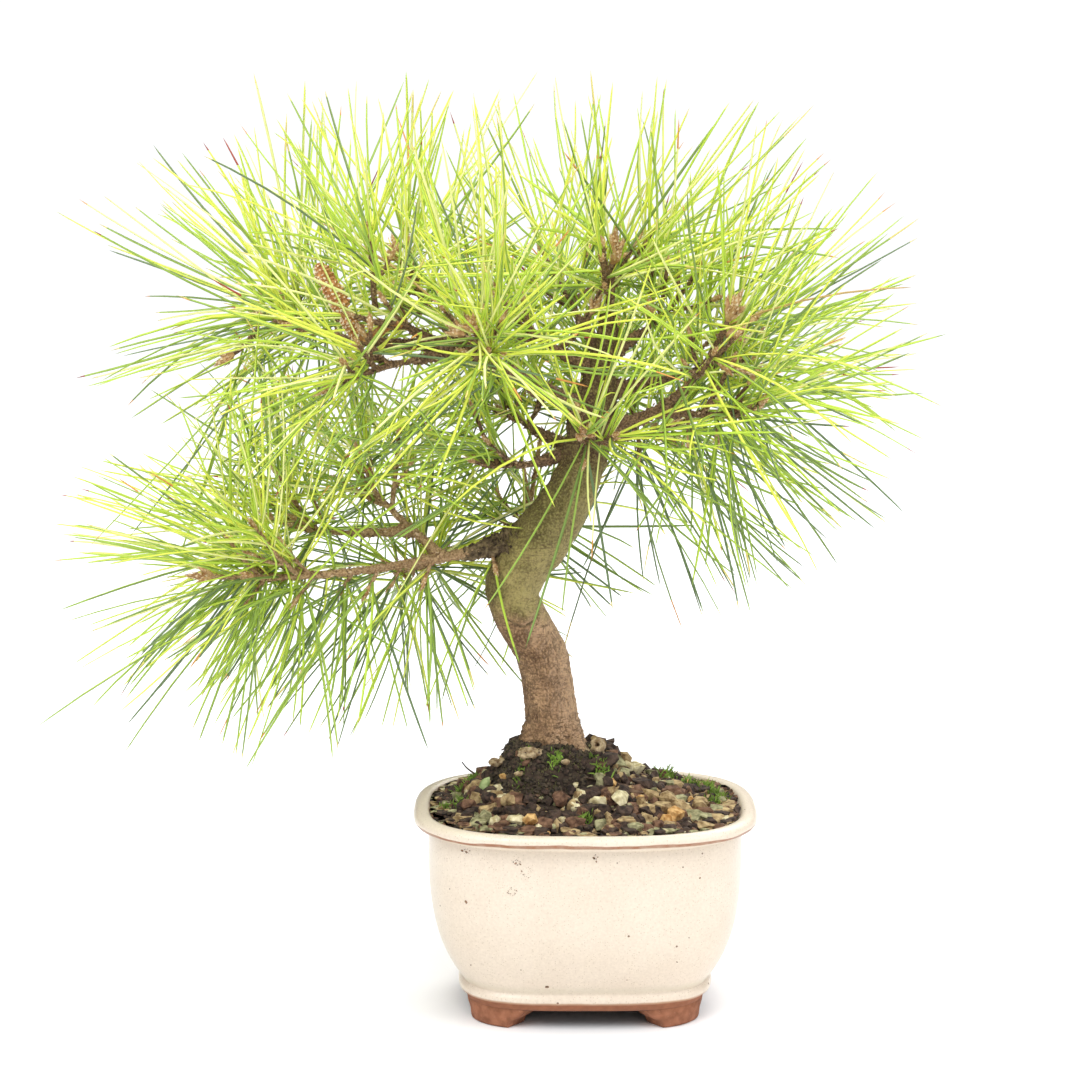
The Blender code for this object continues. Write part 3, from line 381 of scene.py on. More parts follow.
# Natural surfaces: dark and light tone, scale of their patches and roughness. Some have relief, as a scale,
# a strength and a depth in millimetres, and specks, as a colour, a scale, a share and an amount
GRIT = (330.0, 0.9, (800.0, 0.9, 0.6))
SURFACES = {
    "iron_pits": ((0.1, 0.055, 0.03), (0.34, 0.19, 0.1), 900.0, 0.6),
    "grit_dark": ((0.018, 0.011, 0.008), (0.085, 0.05, 0.034), *GRIT),
    "grit_brown": ((0.07, 0.032, 0.018), (0.22, 0.115, 0.065), *GRIT),
    "grit_tan": ((0.2, 0.125, 0.055), (0.52, 0.38, 0.19), *GRIT),
    "grit_grey_green": ((0.16, 0.15, 0.07), (0.43, 0.4, 0.22), *GRIT),
    "grit_cream": ((0.4, 0.32, 0.16), (0.78, 0.7, 0.45), *GRIT),
    "grit_orange": ((0.36, 0.17, 0.045), (0.74, 0.47, 0.19), *GRIT),
    "moss_dull": ((0.035, 0.035, 0.014), (0.19, 0.18, 0.065), 160.0, 0.9, (900.0, 0.2, 0.1)),
    "bark_chips": ((0.03, 0.018, 0.012), (0.17, 0.1, 0.06), 300.0, 0.9),
    "dark_crumbs": ((0.018, 0.013, 0.009), (0.09, 0.065, 0.04), 500.0, 0.95),
    "old_root": (
        (0.2, 0.125, 0.06), (0.55, 0.43, 0.26), 330.0, 0.85, (900.0, 0.8, 0.6),
        ((0.07, 0.045, 0.03), 420.0, 0.35, 0.8),
    ),
    "leaf_blade": ((0.2, 0.27, 0.09), (0.42, 0.5, 0.22), 300.0, 0.55, (900.0, 0.3, 0.15)),
    "dead_stick": ((0.03, 0.02, 0.015), (0.1, 0.07, 0.05), 400.0, 0.9),
    "rough_bark": ((0.05, 0.032, 0.019), (0.24, 0.17, 0.085), 420.0, 0.9, (800.0, 0.9, 0.8)),
    # Dark bark under the trunk's fold: painted shade.
    "fold_crease": ((0.07, 0.045, 0.025), (0.25, 0.17, 0.085), 420.0, 0.9),
    "scale_brown": ((0.17, 0.09, 0.045), (0.42, 0.24, 0.12), 240.0, 0.85),
    "scale_pale": ((0.4, 0.27, 0.16), (0.66, 0.48, 0.31), 240.0, 0.85),
    "bud_scale": ((0.42, 0.22, 0.09), (0.7, 0.46, 0.24), 300.0, 0.7),
    "bud_tip": ((0.62, 0.42, 0.24), (0.86, 0.7, 0.5), 300.0, 0.7),
    "cone_scale": ((0.36, 0.13, 0.04), (0.68, 0.36, 0.13), 420.0, 0.75),
    "cone_tip": ((0.8, 0.62, 0.42), (0.93, 0.84, 0.68), 420.0, 0.75),
}
# Dark and light tones of the twigs in the crown, kept dark as painted shade, and of those low on the left
TWIG_TONES = {
    "crown_bark": ((0.08, 0.045, 0.025), (0.3, 0.18, 0.095)),
    "twig_bark": ((0.24, 0.14, 0.065), (0.54, 0.36, 0.19)),
}
# A bud's outline as shares of its length and radius, and the faces of one scale
BUD_PROFILE = ((0, 0.5), (0.15, 0.8), (0.4, 0.85), (0.7, 0.62), (0.9, 0.3), (1, 0.06))
SCALE_FACES = ((0, 1, 3), (0, 3, 2), (0, 2, 1), (1, 4, 3), (3, 4, 2), (1, 2, 4))

# Stage: each lamp's name, kind, place, the point it faces, and its settings
CROWN = (0, 0, 0.22)
LAMPS = (
    ("key_light", "SUN", (0.3, -0.6, 1.0), (0, 0, 0), {"angle": math.radians(80), "energy": 0.78}),
    ("side_light", "AREA", (1.3, -0.7, 1.5), CROWN, {"shape": "SQUARE", "size": 1.2, "energy": 8}),
    ("front_light", "AREA", (-0.8, -1.15, 1.8), CROWN, {"shape": "SQUARE", "size": 1.3, "energy": 22}),
    ("back_light", "AREA", (0.7, 1.4, 1.6), CROWN, {"shape": "SQUARE", "size": 1.4, "energy": 17}),
)


# What a user can change


def length_property(name, description, default):
    """A length shown in the scene's units."""
    return bpy.props.FloatProperty(name=name, description=description, default=default, min=0, unit="LENGTH")


def colour_property(name, description, default):
    """A linear colour with a colour picker."""
    return bpy.props.FloatVectorProperty(
        name=name, description=description, default=default, min=0, max=1, size=3, subtype="COLOR"
    )


class BonsaiPotSettings(bpy.types.PropertyGroup):
    """Sizes and colours of the pot and its feet."""

    rim_half_width: length_property("Rim Half Width", "Half the width of the pot over its lip", 87 * MM)
    height: length_property("Height", "Height of the pot over its feet", 105 * MM)
    depth_share: bpy.props.FloatProperty(
        name="Depth Share", description="Depth of the pot as a share of its width",
        default=0.775, min=0.1, max=1,
    )
    glaze: colour_property("Glaze", "Colour of the cream glaze", (0.765, 0.645, 0.52))
    pale_glaze: colour_property("Pale Glaze", "Colour of the glaze where it lies thick", (0.83, 0.72, 0.595))
    clay: colour_property("Clay", "Colour of the bare clay", (0.31, 0.12, 0.06))
    iron: colour_property("Iron", "Colour of the line where the glaze breaks", (0.33, 0.14, 0.065))


class BonsaiSoilSettings(bpy.types.PropertyGroup):
    """Sizes and colours of the soil, its stones and its moss."""

    stones: bpy.props.IntProperty(name="Stones", description="Number of stones", default=2000, min=0)
    stone_size: length_property("Stone Size", "Width of a common stone", 5.8 * MM)
    earth: colour_property("Earth", "Colour of the dark soil", (0.035, 0.022, 0.014))
    moss: colour_property("Moss", "Colour of the fresh moss", (0.19, 0.3, 0.04))


class BonsaiBarkSettings(bpy.types.PropertyGroup):
    """Colours and relief of the bark."""

    warm: colour_property("Warm Bark", "Colour of the bark low on the trunk", (0.215, 0.112, 0.05))
    pale: colour_property("Pale Bark", "Colour of the bark's ridges", (0.4, 0.245, 0.13))
    mossy: colour_property("Mossy Bark", "Colour of the bark high on the trunk", (0.15, 0.125, 0.03))
    lichen: colour_property("Lichen", "Colour of the grey-green film on the upper trunk", (0.35, 0.285, 0.1))
    # The dark bark's colour also tints the painted shade on the trunk's left side.
    dark: colour_property("Dark Bark", "Colour of the bark's cracks", (0.07, 0.036, 0.018))
    relief: length_property("Relief", "Height of the bark's relief", 0.66 * MM)


class BonsaiNeedleSettings(bpy.types.PropertyGroup):
    """Sizes and colours of the needles."""

    length: length_property("Length", "Length of a common needle", 98 * MM)
    width: length_property("Width", "Width of a needle", 1.36 * MM)
    spacing: length_property("Spacing", "Distance along a shoot between pairs of needles", 2.15 * MM)
    # The tones from lime to blue green are one green painted lighter or darker by the light that reaches
    # each needle: painted light and painted shade. Pale is partly the needles' paler inner face and partly a
    # painted highlight.
    pale: colour_property("Pale", "Colour of the needles' pale inner faces", (0.91, 0.95, 0.37))
    lime: colour_property("Lime", "Colour of the needles in full light", (0.83, 0.905, 0.122))
    fresh: colour_property("Fresh Green", "Colour of the bright green needles", (0.53, 0.72, 0.08))
    green: colour_property("Green", "Colour of the common needles", (0.34, 0.495, 0.085))
    deep: colour_property("Deep Green", "Colour of the needles in the shade", (0.215, 0.315, 0.08))
    # Blue green goes to the needles that get the least light: painted shade.
    blue: colour_property("Blue Green", "Colour of the oldest needles", (0.165, 0.24, 0.105))


class BonsaiStageSettings(bpy.types.PropertyGroup):
    """The camera, the floor and the lights."""

    camera_distance: length_property("Camera Distance", "Level distance from the camera to the pot", 1.3)
    camera_height: length_property("Camera Height", "Height of the camera above the floor", 0.468)
    camera_across: bpy.props.FloatProperty(
        name="Camera Across", description="Place of the camera beside the pot's middle",
        default=-22.8 * MM, unit="LENGTH",
    )
    tilt: bpy.props.FloatProperty(
        name="Tilt", description="How far the camera looks down", default=math.radians(9.95), subtype="ANGLE"
    )
    lens: bpy.props.FloatProperty(name="Lens", description="Focal length", default=87.99, min=1)
    floor: colour_property("Floor", "Colour of the floor", (0.93, 0.93, 0.935))


# Meshes from arrays


def build_piece(name, points, faces, materials, kinds=None, smooth=True, sharp=None):
    """An object from pot-centred points and arrays of faces, with a material number for each face."""
    mesh = bpy.data.meshes.new(name)
    points = np.asarray(points, np.float64) + CENTRE
    corners = np.concatenate([np.asarray(block).ravel() for block in faces]).astype(np.int32)
    sizes = np.concatenate([np.full(len(block), np.asarray(block).shape[1]) for block in faces])
    mesh.vertices.add(len(points))
    mesh.vertices.foreach_set("co", points.astype(np.float32).ravel())
    mesh.loops.add(len(corners))
    mesh.loops.foreach_set("vertex_index", corners)
    mesh.polygons.add(len(sizes))
    mesh.polygons.foreach_set("loop_start", np.concatenate([[0], np.cumsum(sizes)[:-1]]).astype(np.int32))
    for material in materials:
        mesh.materials.append(material)
    if kinds is not None:
        mesh.polygons.foreach_set("material_index", np.asarray(kinds, np.int32))
    mesh.update(calc_edges=True)
    mesh.validate()
    if smooth:
        mesh.shade_smooth()
        if sharp:
            mesh.set_sharp_from_angle(angle=math.radians(sharp))
    else:
        mesh.shade_flat()
    thing = bpy.data.objects.new(name, mesh)
    bpy.context.scene.collection.objects.link(thing)
    return thing


def stand_for(thing, slot, *nodes):
    """Fixes a piece to the plant's body and hides the solids that it stands for."""
    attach(thing, BODY)
    if nodes:
        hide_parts(*nodes)
    return thing


def circle(sides):
    """Even turns round a ring."""
    return np.linspace(0, 2 * math.pi, sides, endpoint=False)


def walk(path):
    """How far along a path each of its points lies."""
    return np.concatenate([[0], np.cumsum(np.linalg.norm(np.diff(path, axis=0), axis=1))])


def ring_ways(turns, side, other):
    """Directions at some turns round an axis, from the two that are square to it."""
    return np.cos(turns)[..., None] * side + np.sin(turns)[..., None] * other


def grid_faces(rows, columns):
    """Quads of rows of points that close on themselves, as corner numbers."""
    i, j = np.meshgrid(np.arange(rows - 1) * columns, np.arange(columns), indexing="ij")
    k = (j + 1) % columns
    faces = np.stack([i + j, i + k, i + columns + k, i + columns + j], axis=-1)
    return faces.reshape(-1, 4)


def cap_faces(columns, ring_first, centre, turned):
    """Triangles that close a ring of points round a centre point."""
    j = np.arange(columns)
    k = (j + 1) % columns
    near, far = (k, j) if turned else (j, k)
    return np.stack([near + ring_first, far + ring_first, np.full(columns, centre)], axis=-1)


def closed_faces(rows, columns, flip=False):
    """Faces of rows of points closed at both ends by the two points that follow them."""
    body, last = grid_faces(rows, columns), rows * columns
    ends = [cap_faces(columns, 0, last, not flip), cap_faces(columns, last - columns, last + 1, flip)]
    return [body[:, ::-1] if flip else body, *ends]


def repeated(pattern, count, corners):
    """The faces of many small meshes that have one pattern, each with its own corners."""
    pattern = np.array(pattern)
    return (np.arange(count)[:, None, None] * corners + pattern).reshape(-1, pattern.shape[1])


class Shape:
    """Points and faces gathered from several closed meshes."""

    def __init__(self):
        self.points, self.faces, self.kinds, self.count = [], [], [], 0

    def add(self, points, faces, kind=0):
        """Adds one mesh, whose faces are arrays of its own corner numbers."""
        for block in faces:
            self.faces.append(np.asarray(block) + self.count)
            self.kinds.append(np.broadcast_to(np.asarray(kind), (len(block),)))
        self.points.append(np.asarray(points))
        self.count += len(points)

    def build(self, name, materials, smooth=True, sharp=None):
        """The object made of all that was added."""
        points = np.concatenate(self.points)
        return build_piece(name, points, self.faces, materials, np.concatenate(self.kinds), smooth, sharp)


def unit(vectors):
    """Vectors scaled to length one."""
    return vectors / np.maximum(np.linalg.norm(vectors, axis=-1, keepdims=True), 1e-12)


def rough(points, size, depth=3, seed=0):
    """Fractal noise at each point for lumps of a size, from about -1 to 1."""
    shift = Vector((seed * 7.31, seed * 3.17, seed * 5.93))
    return np.array([noise.fractal(Vector(point) / size + shift, 1.0, 2.0, depth) for point in points])


def frames_along(path):
    """Directions along a path, and two directions square to each that don't twist."""
    ahead = unit(np.gradient(path, axis=0))
    side = np.empty_like(ahead)
    start = np.array((1.0, 0, 0)) if abs(ahead[0][0]) < 0.8 else np.array((0, 0, 1.0))
    side[0] = unit(start - ahead[0] * ahead[0].dot(start))
    for i in range(1, len(path)):
        turned = side[i - 1] - ahead[i] * ahead[i].dot(side[i - 1])
        side[i] = unit(turned)
    return ahead, side, np.cross(ahead, side)


def points_at(places, walked, path):
    """The points at some places along a path."""
    return np.stack([np.interp(places, walked, path[:, k]) for k in range(3)], axis=1)


def even_path(path, step):
    """Points at even steps along a path, and how far along it each lies."""
    walked = walk(path)
    count = max(4, math.ceil(walked[-1] / step) + 1)
    places = np.linspace(0, walked[-1], count)
    return points_at(places, walked, path), places


def bar(path, radii, sides, relief=None):
    """Points and faces of a closed bar along a path. relief gives the change of radius at each place."""
    ahead, side, other = frames_along(path)
    turns = circle(sides)
    around = ring_ways(turns, side[:, None], other[:, None])
    reach = np.broadcast_to(np.asarray(radii)[:, None], (len(path), sides)).copy()
    if relief is not None:
        reach += relief(path, around, reach, turns)
    points = path[:, None, :] + around * reach[:, :, None]
    ends = np.stack([path[0] - ahead[0] * radii[0] * 0.3, path[-1] + ahead[-1] * radii[-1] * 0.3])
    return np.concatenate([points.reshape(-1, 3), ends]), closed_faces(len(path), sides)


def smooth_stations(stations, count):
    """A smooth curve through rows of numbers, read at many even places."""
    rows = np.asarray(stations, float)
    walked = walk(rows[:, :3])
    slopes = np.gradient(rows, walked, axis=0)
    places = np.linspace(0, walked[-1], count)
    index = np.clip(np.searchsorted(walked, places, side="right") - 1, 0, len(rows) - 2)
    width = (walked[index + 1] - walked[index])[:, None]
    t = (places - walked[index])[:, None] / width
    low, high = rows[index], rows[index + 1]
    return (
        (2 * t**3 - 3 * t**2 + 1) * low
        + (t**3 - 2 * t**2 + t) * slopes[index] * width
        + (3 * t**2 - 2 * t**3) * high
        + (t**3 - t**2) * slopes[index + 1] * width
    )


# Shader effects that several finishes share


def spaced(label):
    """A socket's name from the name of a value."""
    return label.replace("_", " ").title()


class Nodes:
    """A node tree being put together."""

    def __init__(self, tree):
        self.tree = tree

    def fill(self, made, sockets):
        """Gives the sockets of a node their values or their links."""
        for name, value in dict(sockets).items():
            if isinstance(value, bpy.types.NodeSocket):
                self.tree.links.new(value, made.inputs[name])
            else:
                made.inputs[name].default_value = value
        return made

    def add(self, kind, sockets=(), **settings):
        """A node with its settings, whose sockets take either a value or a link."""
        made = self.tree.nodes.new(f"ShaderNode{kind}")
        for name, value in settings.items():
            setattr(made, name, value)
        return self.fill(made, sockets)

    def math(self, operation, *values, **settings):
        """The result of one step of arithmetic."""
        return self.add("Math", enumerate(values), operation=operation, **settings).outputs[0]

    def spread(self, value, low=0.0, high=1.0, first=0.0, last=1.0, **settings):
        """A value carried from the range low to high over to the range first to last."""
        sockets = {"Value": value, "From Min": low, "From Max": high, "To Min": first, "To Max": last}
        return self.add("MapRange", sockets, **settings).outputs["Result"]

    def noise(self, place, scale, detail, **sockets):
        """A cloudy value from 0 to 1."""
        sockets = {"Vector": place, "Scale": scale, "Detail": detail, **sockets}
        return self.add("TexNoise", sockets).outputs["Fac"]

    def mix(self, mask, low, high):
        """Two colours mixed by a mask."""
        ends = [end if isinstance(end, bpy.types.NodeSocket) else four(end) for end in (low, high)]
        return self.add("Mix", {0: mask, 6: ends[0], 7: ends[1]}, data_type="RGBA").outputs[2]


class Effect(Nodes):
    """A shader effect that finishes share, put together as a node group."""

    def __init__(self, name, results, **inputs):
        super().__init__(bpy.data.node_groups.new(name, "ShaderNodeTree"))
        self.socket("Vector", "INPUT", "Vector")
        for label, value in inputs.items():
            kind = "Float" if isinstance(value, float) else "Color"
            self.socket(spaced(label), "INPUT", kind).default_value = value
        for label in results:
            self.socket(label, "OUTPUT", "Color" if label == "Color" else "Float")
        self.given = self.tree.nodes.new("NodeGroupInput").outputs
        self.out = self.tree.nodes.new("NodeGroupOutput").inputs

    def socket(self, label, side, kind):
        """A new socket of the group."""
        return self.tree.interface.new_socket(label, in_out=side, socket_type=f"NodeSocket{kind}")

    def drawn_out(self):
        """The places given, stretched along the upright axis."""
        stretch = self.add("CombineXYZ", {"X": 1.0, "Y": 1.0, "Z": self.given["Stretch"]}).outputs[0]
        return self.add("VectorMath", {0: self.given["Vector"], 1: stretch}, operation="MULTIPLY").outputs[0]

    def give(self, *results):
        """Sends the results out of the group."""
        for result, socket in zip(results, self.out):
            self.tree.links.new(result, socket)
        return self.tree


def mottle_group():
    """Two colours mixed in cloudy patches."""
    tones = {"dark": (0.2, 0.2, 0.2, 1), "light": (0.8, 0.8, 0.8, 1)}
    group = Effect("Mottle", ("Color", "Value"), scale=100.0, detail=4.0, softness=0.12, **tones)
    given = group.given
    cloud = group.noise(given["Vector"], given["Scale"], given["Detail"])
    ends = [group.math(operation, 0.5, given["Softness"]) for operation in ("SUBTRACT", "ADD")]
    mask = group.spread(cloud, *ends)
    return group.give(group.mix(mask, given["Dark"], given["Light"]), mask)


def speckle_group():
    """Scattered round specks, as a mask."""
    group = Effect("Speckle", ("Mask",), scale=600.0, size=0.2, share=0.3)
    given = group.given
    cells = group.add("TexVoronoi", {"Vector": given["Vector"], "Scale": given["Scale"]}).outputs
    near = group.math("LESS_THAN", cells["Distance"], given["Size"])
    pick = group.add("SeparateColor", {0: cells["Color"]}).outputs[0]
    chosen = group.math("LESS_THAN", pick, given["Share"])
    return group.give(group.math("MULTIPLY", near, chosen))


def height_group():
    """A mask that goes from 0 to 1 over a band of heights, with a wavy edge."""
    group = Effect("Height Band", ("Mask",), low=0.0, high=0.01, wave=0.001, wave_scale=40.0)
    given = group.given
    height = group.add("SeparateXYZ", {0: given["Vector"]}).outputs["Z"]
    level = group.math("SUBTRACT", group.noise(given["Vector"], given["Wave Scale"], 3.0), 0.5)
    moved = group.math("MULTIPLY_ADD", level, given["Wave"], height)
    return group.give(group.spread(moved, given["Low"], given["High"], interpolation_type="SMOOTHSTEP"))


def grain_group():
    """Fine relief stretched along the upright axis, as a height."""
    group = Effect("Grain", ("Height",), scale=900.0, stretch=1.0, detail=4.0)
    return group.give(group.noise(group.drawn_out(), group.given["Scale"], group.given["Detail"]))


def cracks_group():
    """Thin wandering lines, level where the places are drawn out and upright where they are pressed flat."""
    group = Effect("Cracks", ("Mask",), scale=200.0, stretch=1.0, width=0.03)
    cloud = group.noise(group.drawn_out(), group.given["Scale"], 4.0, Distortion=0.7)
    away = group.math("ABSOLUTE", group.math("SUBTRACT", cloud, 0.5))
    return group.give(group.spread(away, group.given["Width"], 0.0, interpolation_type="SMOOTHSTEP"))


GROUPS = {}


GROUP_MAKERS = {
    "Mottle": mottle_group, "Speckle": speckle_group, "Height Band": height_group, "Grain": grain_group,
    "Cracks": cracks_group,
}


class Finish(Nodes):
    """A material being put together: its tree, its shader and its object coordinates."""

    def __init__(self, name, colour, roughness):
        self.material = bpy.data.materials.new(name)
        self.material.use_nodes = True
        super().__init__(self.material.node_tree)
        self.shader = self.tree.nodes["Principled BSDF"]
        self.fill(self.shader, {"Base Color": (*colour, 1), "Roughness": roughness})
        self.material.diffuse_color = (*colour, 1)
        self.place = self.add("TexCoord").outputs["Object"]

    def effect(self, name, **sockets):
        """The results of one of the shared effects, which is made the first time it is used."""
        if name not in GROUPS:
            GROUPS[name] = GROUP_MAKERS[name]()
        made = self.add("Group", node_tree=GROUPS[name])
        labels = {spaced(label): value for label, value in sockets.items()}
        return self.fill(made, {"Vector": self.place, **labels}).outputs

    def mottle(self, scale, dark, light, **sockets):
        """The results of two colours mixed in cloudy patches."""
        return self.effect("Mottle", scale=scale, dark=four(dark), light=four(light), **sockets)

    def specks(self, scale, size, share):
        """A mask of scattered round specks."""
        return self.effect("Speckle", scale=scale, size=size, share=share)["Mask"]

    def band(self, low, high, wave, **sockets):
        """A mask that goes from 0 to 1 between two heights, with an edge that waves, all in millimetres."""
        return self.effect("Height Band", low=low * MM, high=high * MM, wave=wave * MM, **sockets)["Mask"]

    def colour(self, socket):
        """Sends a colour to the shader."""
        self.fill(self.shader, {"Base Color": socket})

    def rough_between(self, mask, low, high):
        """Varies the roughness over the surface by a mask."""
        self.fill(self.shader, {"Roughness": self.spread(mask, first=low, last=high)})

    def bump(self, height, strength, depth):
        """Relief too fine for the mesh, with its depth in millimetres."""
        relief = self.add("Bump", {"Height": height, "Strength": strength, "Distance": depth * MM})
        self.fill(self.shader, {"Normal": relief.outputs["Normal"]})


def four(colour):
    """A colour with its alpha."""
    return (*tuple(colour)[:3], 1.0)


def shade(colour, factor):
    """A colour made darker or lighter."""
    return tuple(min(1.0, value * factor) for value in tuple(colour)[:3])


def glaze_finish(pot):
    """Cream glaze with iron specks, a broken brown line under the lip, and bare clay below a wavy edge."""
    finish = Finish("cream_glaze", pot.glaze, 0.3)
    cloud = finish.mottle(45.0, pot.glaze, pot.pale_glaze, softness=0.2)["Color"]
    tint = finish.mottle(760.0, shade(pot.glaze, 0.86), pot.pale_glaze, softness=0.2)["Color"]
    base = finish.mix(0.45, cloud, tint)
    faint = finish.math("MULTIPLY", finish.specks(900.0, 0.24, 0.4), 0.45)
    base = finish.mix(faint, base, (0.42, 0.31, 0.19))
    base = finish.mix(finish.specks(170.0, 0.1, 0.14), base, (0.22, 0.13, 0.08))
    # A darker greyish band in the groove above the foot moulding: painted shade.
    groove_painted_shade = finish.math("SUBTRACT", finish.band(18.4, 21.5, 1.6), finish.band(20, 25.5, 2))
    base = finish.mix(finish.math("MULTIPLY", groove_painted_shade, 0.45), base, (0.6, 0.55, 0.42))
    base = iron_lines(finish, pot, base)
    glazed = finish.band(GLAZE_EDGE - 0.25, GLAZE_EDGE + 0.2, 2.4)
    burnt = finish.band(GLAZE_EDGE + 0.4, GLAZE_EDGE + 1.7, 2.4)
    edge = finish.mix(burnt, (0.45, 0.24, 0.13), base)
    clay = finish.mottle(300.0, shade(pot.clay, 0.85), shade(pot.clay, 1.15), softness=0.2)["Color"]
    # Below the base's edge the underside is painted near black: painted shade under the pot.
    bare = finish.band(BASE_HEIGHT / MM + 0.1, BASE_HEIGHT / MM + 0.5, 0.2)
    underside_painted_shade = finish.mottle(120.0, (0.02, 0.012, 0.009), (0.05, 0.028, 0.02))["Color"]
    finish.colour(finish.mix(glazed, finish.mix(bare, underside_painted_shade, clay), edge))
    finish.rough_between(glazed, 0.85, 0.3)
    finish.bump(finish.effect("Grain", scale=700.0, detail=3.0)["Height"], 0.25, 0.25)
    return finish.material


def iron_lines(finish, pot, base):
    """The glaze's broken brown line under the lip, and its inner edge: part brown wear, part painted shade.
    """
    lower = finish.band(LINE_HEIGHT - 1.9, LINE_HEIGHT - 1.3, 2.8)
    line = finish.math("SUBTRACT", lower, finish.band(LINE_HEIGHT, LINE_HEIGHT + 0.4, 3.2))
    breaks = finish.effect("Mottle", scale=160.0, softness=0.1, detail=5.0)["Value"]
    mask = finish.math("MULTIPLY", line, finish.spread(breaks, first=0.8))
    share = rim_share(finish, pot)
    mask = finish.math("MULTIPLY", mask, finish.spread(share, 0.86, 0.9), use_clamp=True)
    base = finish.mix(mask, base, pot.iron)
    # Brown on the lip's inner slope is wear; on the top of the inner wall it is painted shade.
    inside = finish.spread(share, 0.78, 0.735)
    wear_and_wall_shade = finish.spread(breaks, first=0.15, last=0.75)
    upper = finish.band(96, 99, 1)
    mask = finish.math("MULTIPLY", finish.math("MULTIPLY", inside, wear_and_wall_shade), upper)
    return finish.mix(mask, base, shade(pot.iron, 0.8))


def rim_share(finish, pot):
    """How far out a place lies from the pot's middle, up to 1 at the rim's edge."""
    place = finish.add("SeparateXYZ", {0: finish.place}).outputs
    offsets = [finish.math("SUBTRACT", place[axis], CENTRE[axis]) for axis in (0, 1)]
    parts = []
    for offset, half in zip(offsets, (pot.rim_half_width, pot.rim_half_width * pot.depth_share)):
        size = finish.math("ABSOLUTE", finish.math("DIVIDE", offset, half))
        parts.append(finish.math("POWER", size, RIM_CORNER_POWER))
    return finish.math("ADD", *parts)


def mottled_finish(name, dark, light, scale, roughness, relief=(900.0, 0.4, 0.3), speck=None):
    """A rough natural surface in two cloudy tones, with fine relief and perhaps specks.

    relief is a scale, a strength and a depth in millimetres. speck is a colour, a scale, a share and how
    much of it shows.
    """
    middle = tuple((a + b) / 2 for a, b in zip(tuple(dark)[:3], tuple(light)[:3]))
    finish = Finish(name, middle, roughness)
    cloud = finish.mottle(scale, dark, light, softness=0.13)
    base = cloud["Color"]
    if speck:
        colour, size, share, amount = speck
        soft = finish.math("MULTIPLY", finish.specks(size, 0.28, share), amount)
        base = finish.mix(soft, base, colour)
    finish.colour(base)
    finish.rough_between(cloud["Value"], min(1, roughness + 0.08), roughness - 0.08)
    finish.bump(finish.effect("Grain", scale=relief[0])["Height"], *relief[1:])
    return finish.material


def surface(name):
    """A natural surface from the table of them."""
    return mottled_finish(name, *SURFACES[name])


def bark_finish(bark):
    """Warm tan bark low on the trunk that turns olive and mossy above the elbow, dark in its cracks."""
    finish = Finish("trunk_bark", bark.warm, 0.85)
    warm = finish.mottle(95.0, shade(bark.warm, 0.72), bark.pale, softness=0.14)["Color"]
    mossy = finish.mottle(125.0, shade(bark.mossy, 0.8), bark.lichen, softness=0.12, detail=6.0)["Color"]
    above = finish.band(191, 209, 60, wave_scale=38.0)
    base = finish.mix(above, warm, mossy)
    green = finish.math("MULTIPLY", finish.band(214, 262, 50, wave_scale=45.0), 0.8)
    base = finish.mix(green, base, shade(bark.mossy, 0.72))
    top = finish.band(268, 290, 30, wave_scale=60.0)
    # Painted light on the trunk's right side and painted shade on its left side.
    base = painted_side_light(finish, bark, base, above)
    base = finish.mix(top, base, shade(bark.warm, 0.4))
    grain = finish.effect("Grain", scale=1000.0, stretch=0.9, detail=10.0)["Height"]
    light = finish.spread(grain, 0.46, 0.72, 0.0, 0.6)
    base = finish.mix(light, base, finish.mix(above, shade(bark.pale, 1.5), shade(bark.lichen, 1.3)))
    base = finish.mix(finish.spread(grain, 0.5, 0.3, 0.0, 0.5), base, bark.dark)
    cracks = bark_cracks(finish)
    finish.colour(finish.mix(cracks, base, bark.dark))
    finish.bump(finish.math("SUBTRACT", grain, cracks), 0.8, 0.5)
    return finish.material


def bark_cracks(finish):
    """A mask of level wrinkles in patches and of upright fissures, fainter above the fold."""
    wrinkles = finish.effect("Cracks", scale=88.0, stretch=5.0, width=0.034)["Mask"]
    fissures = finish.effect("Cracks", scale=210.0, stretch=0.25, width=0.026)["Mask"]
    below = finish.band(204, 194, 10)
    patch = finish.effect("Mottle", scale=48.0, softness=0.1, detail=3.0)["Value"]
    level = finish.math("MULTIPLY", wrinkles, finish.spread(patch, first=0.3))
    both = finish.math("MAXIMUM", level, finish.math("MULTIPLY", fissures, 0.6))
    return finish.math("MULTIPLY", both, finish.spread(below, first=0.6))


def painted_side_light(finish, bark, base, above):
    """Paints the trunk lighter on its right side, painted light, and darker on its left side, painted shade.
    """
    facing = finish.add("SeparateXYZ", {0: finish.add("NewGeometry").outputs["Normal"]}).outputs["X"]
    painted_light_tone = finish.mix(above, (0.68, 0.46, 0.29), (0.46, 0.38, 0.17))
    base = finish.mix(finish.spread(facing, -0.1, 0.9, 0.0, 0.72), base, painted_light_tone)
    return finish.mix(finish.spread(facing, -0.45, -1.0, 0.0, 0.55), base, shade(bark.dark, 1.5))


def needle_finish(name, colour, roughness=0.36):
    """A waxy needle in one tone, a little lighter and darker along the crown."""
    finish = Finish(name, colour, roughness)
    cloud = finish.mottle(70.0, shade(colour, 0.86), shade(colour, 1.1), softness=0.3, detail=2.0)
    finish.colour(cloud["Color"])
    finish.rough_between(cloud["Value"], roughness + 0.06, roughness - 0.06)
    finish.shader.inputs["Specular IOR Level"].default_value = 0.3
    return finish.material


# Pot and feet


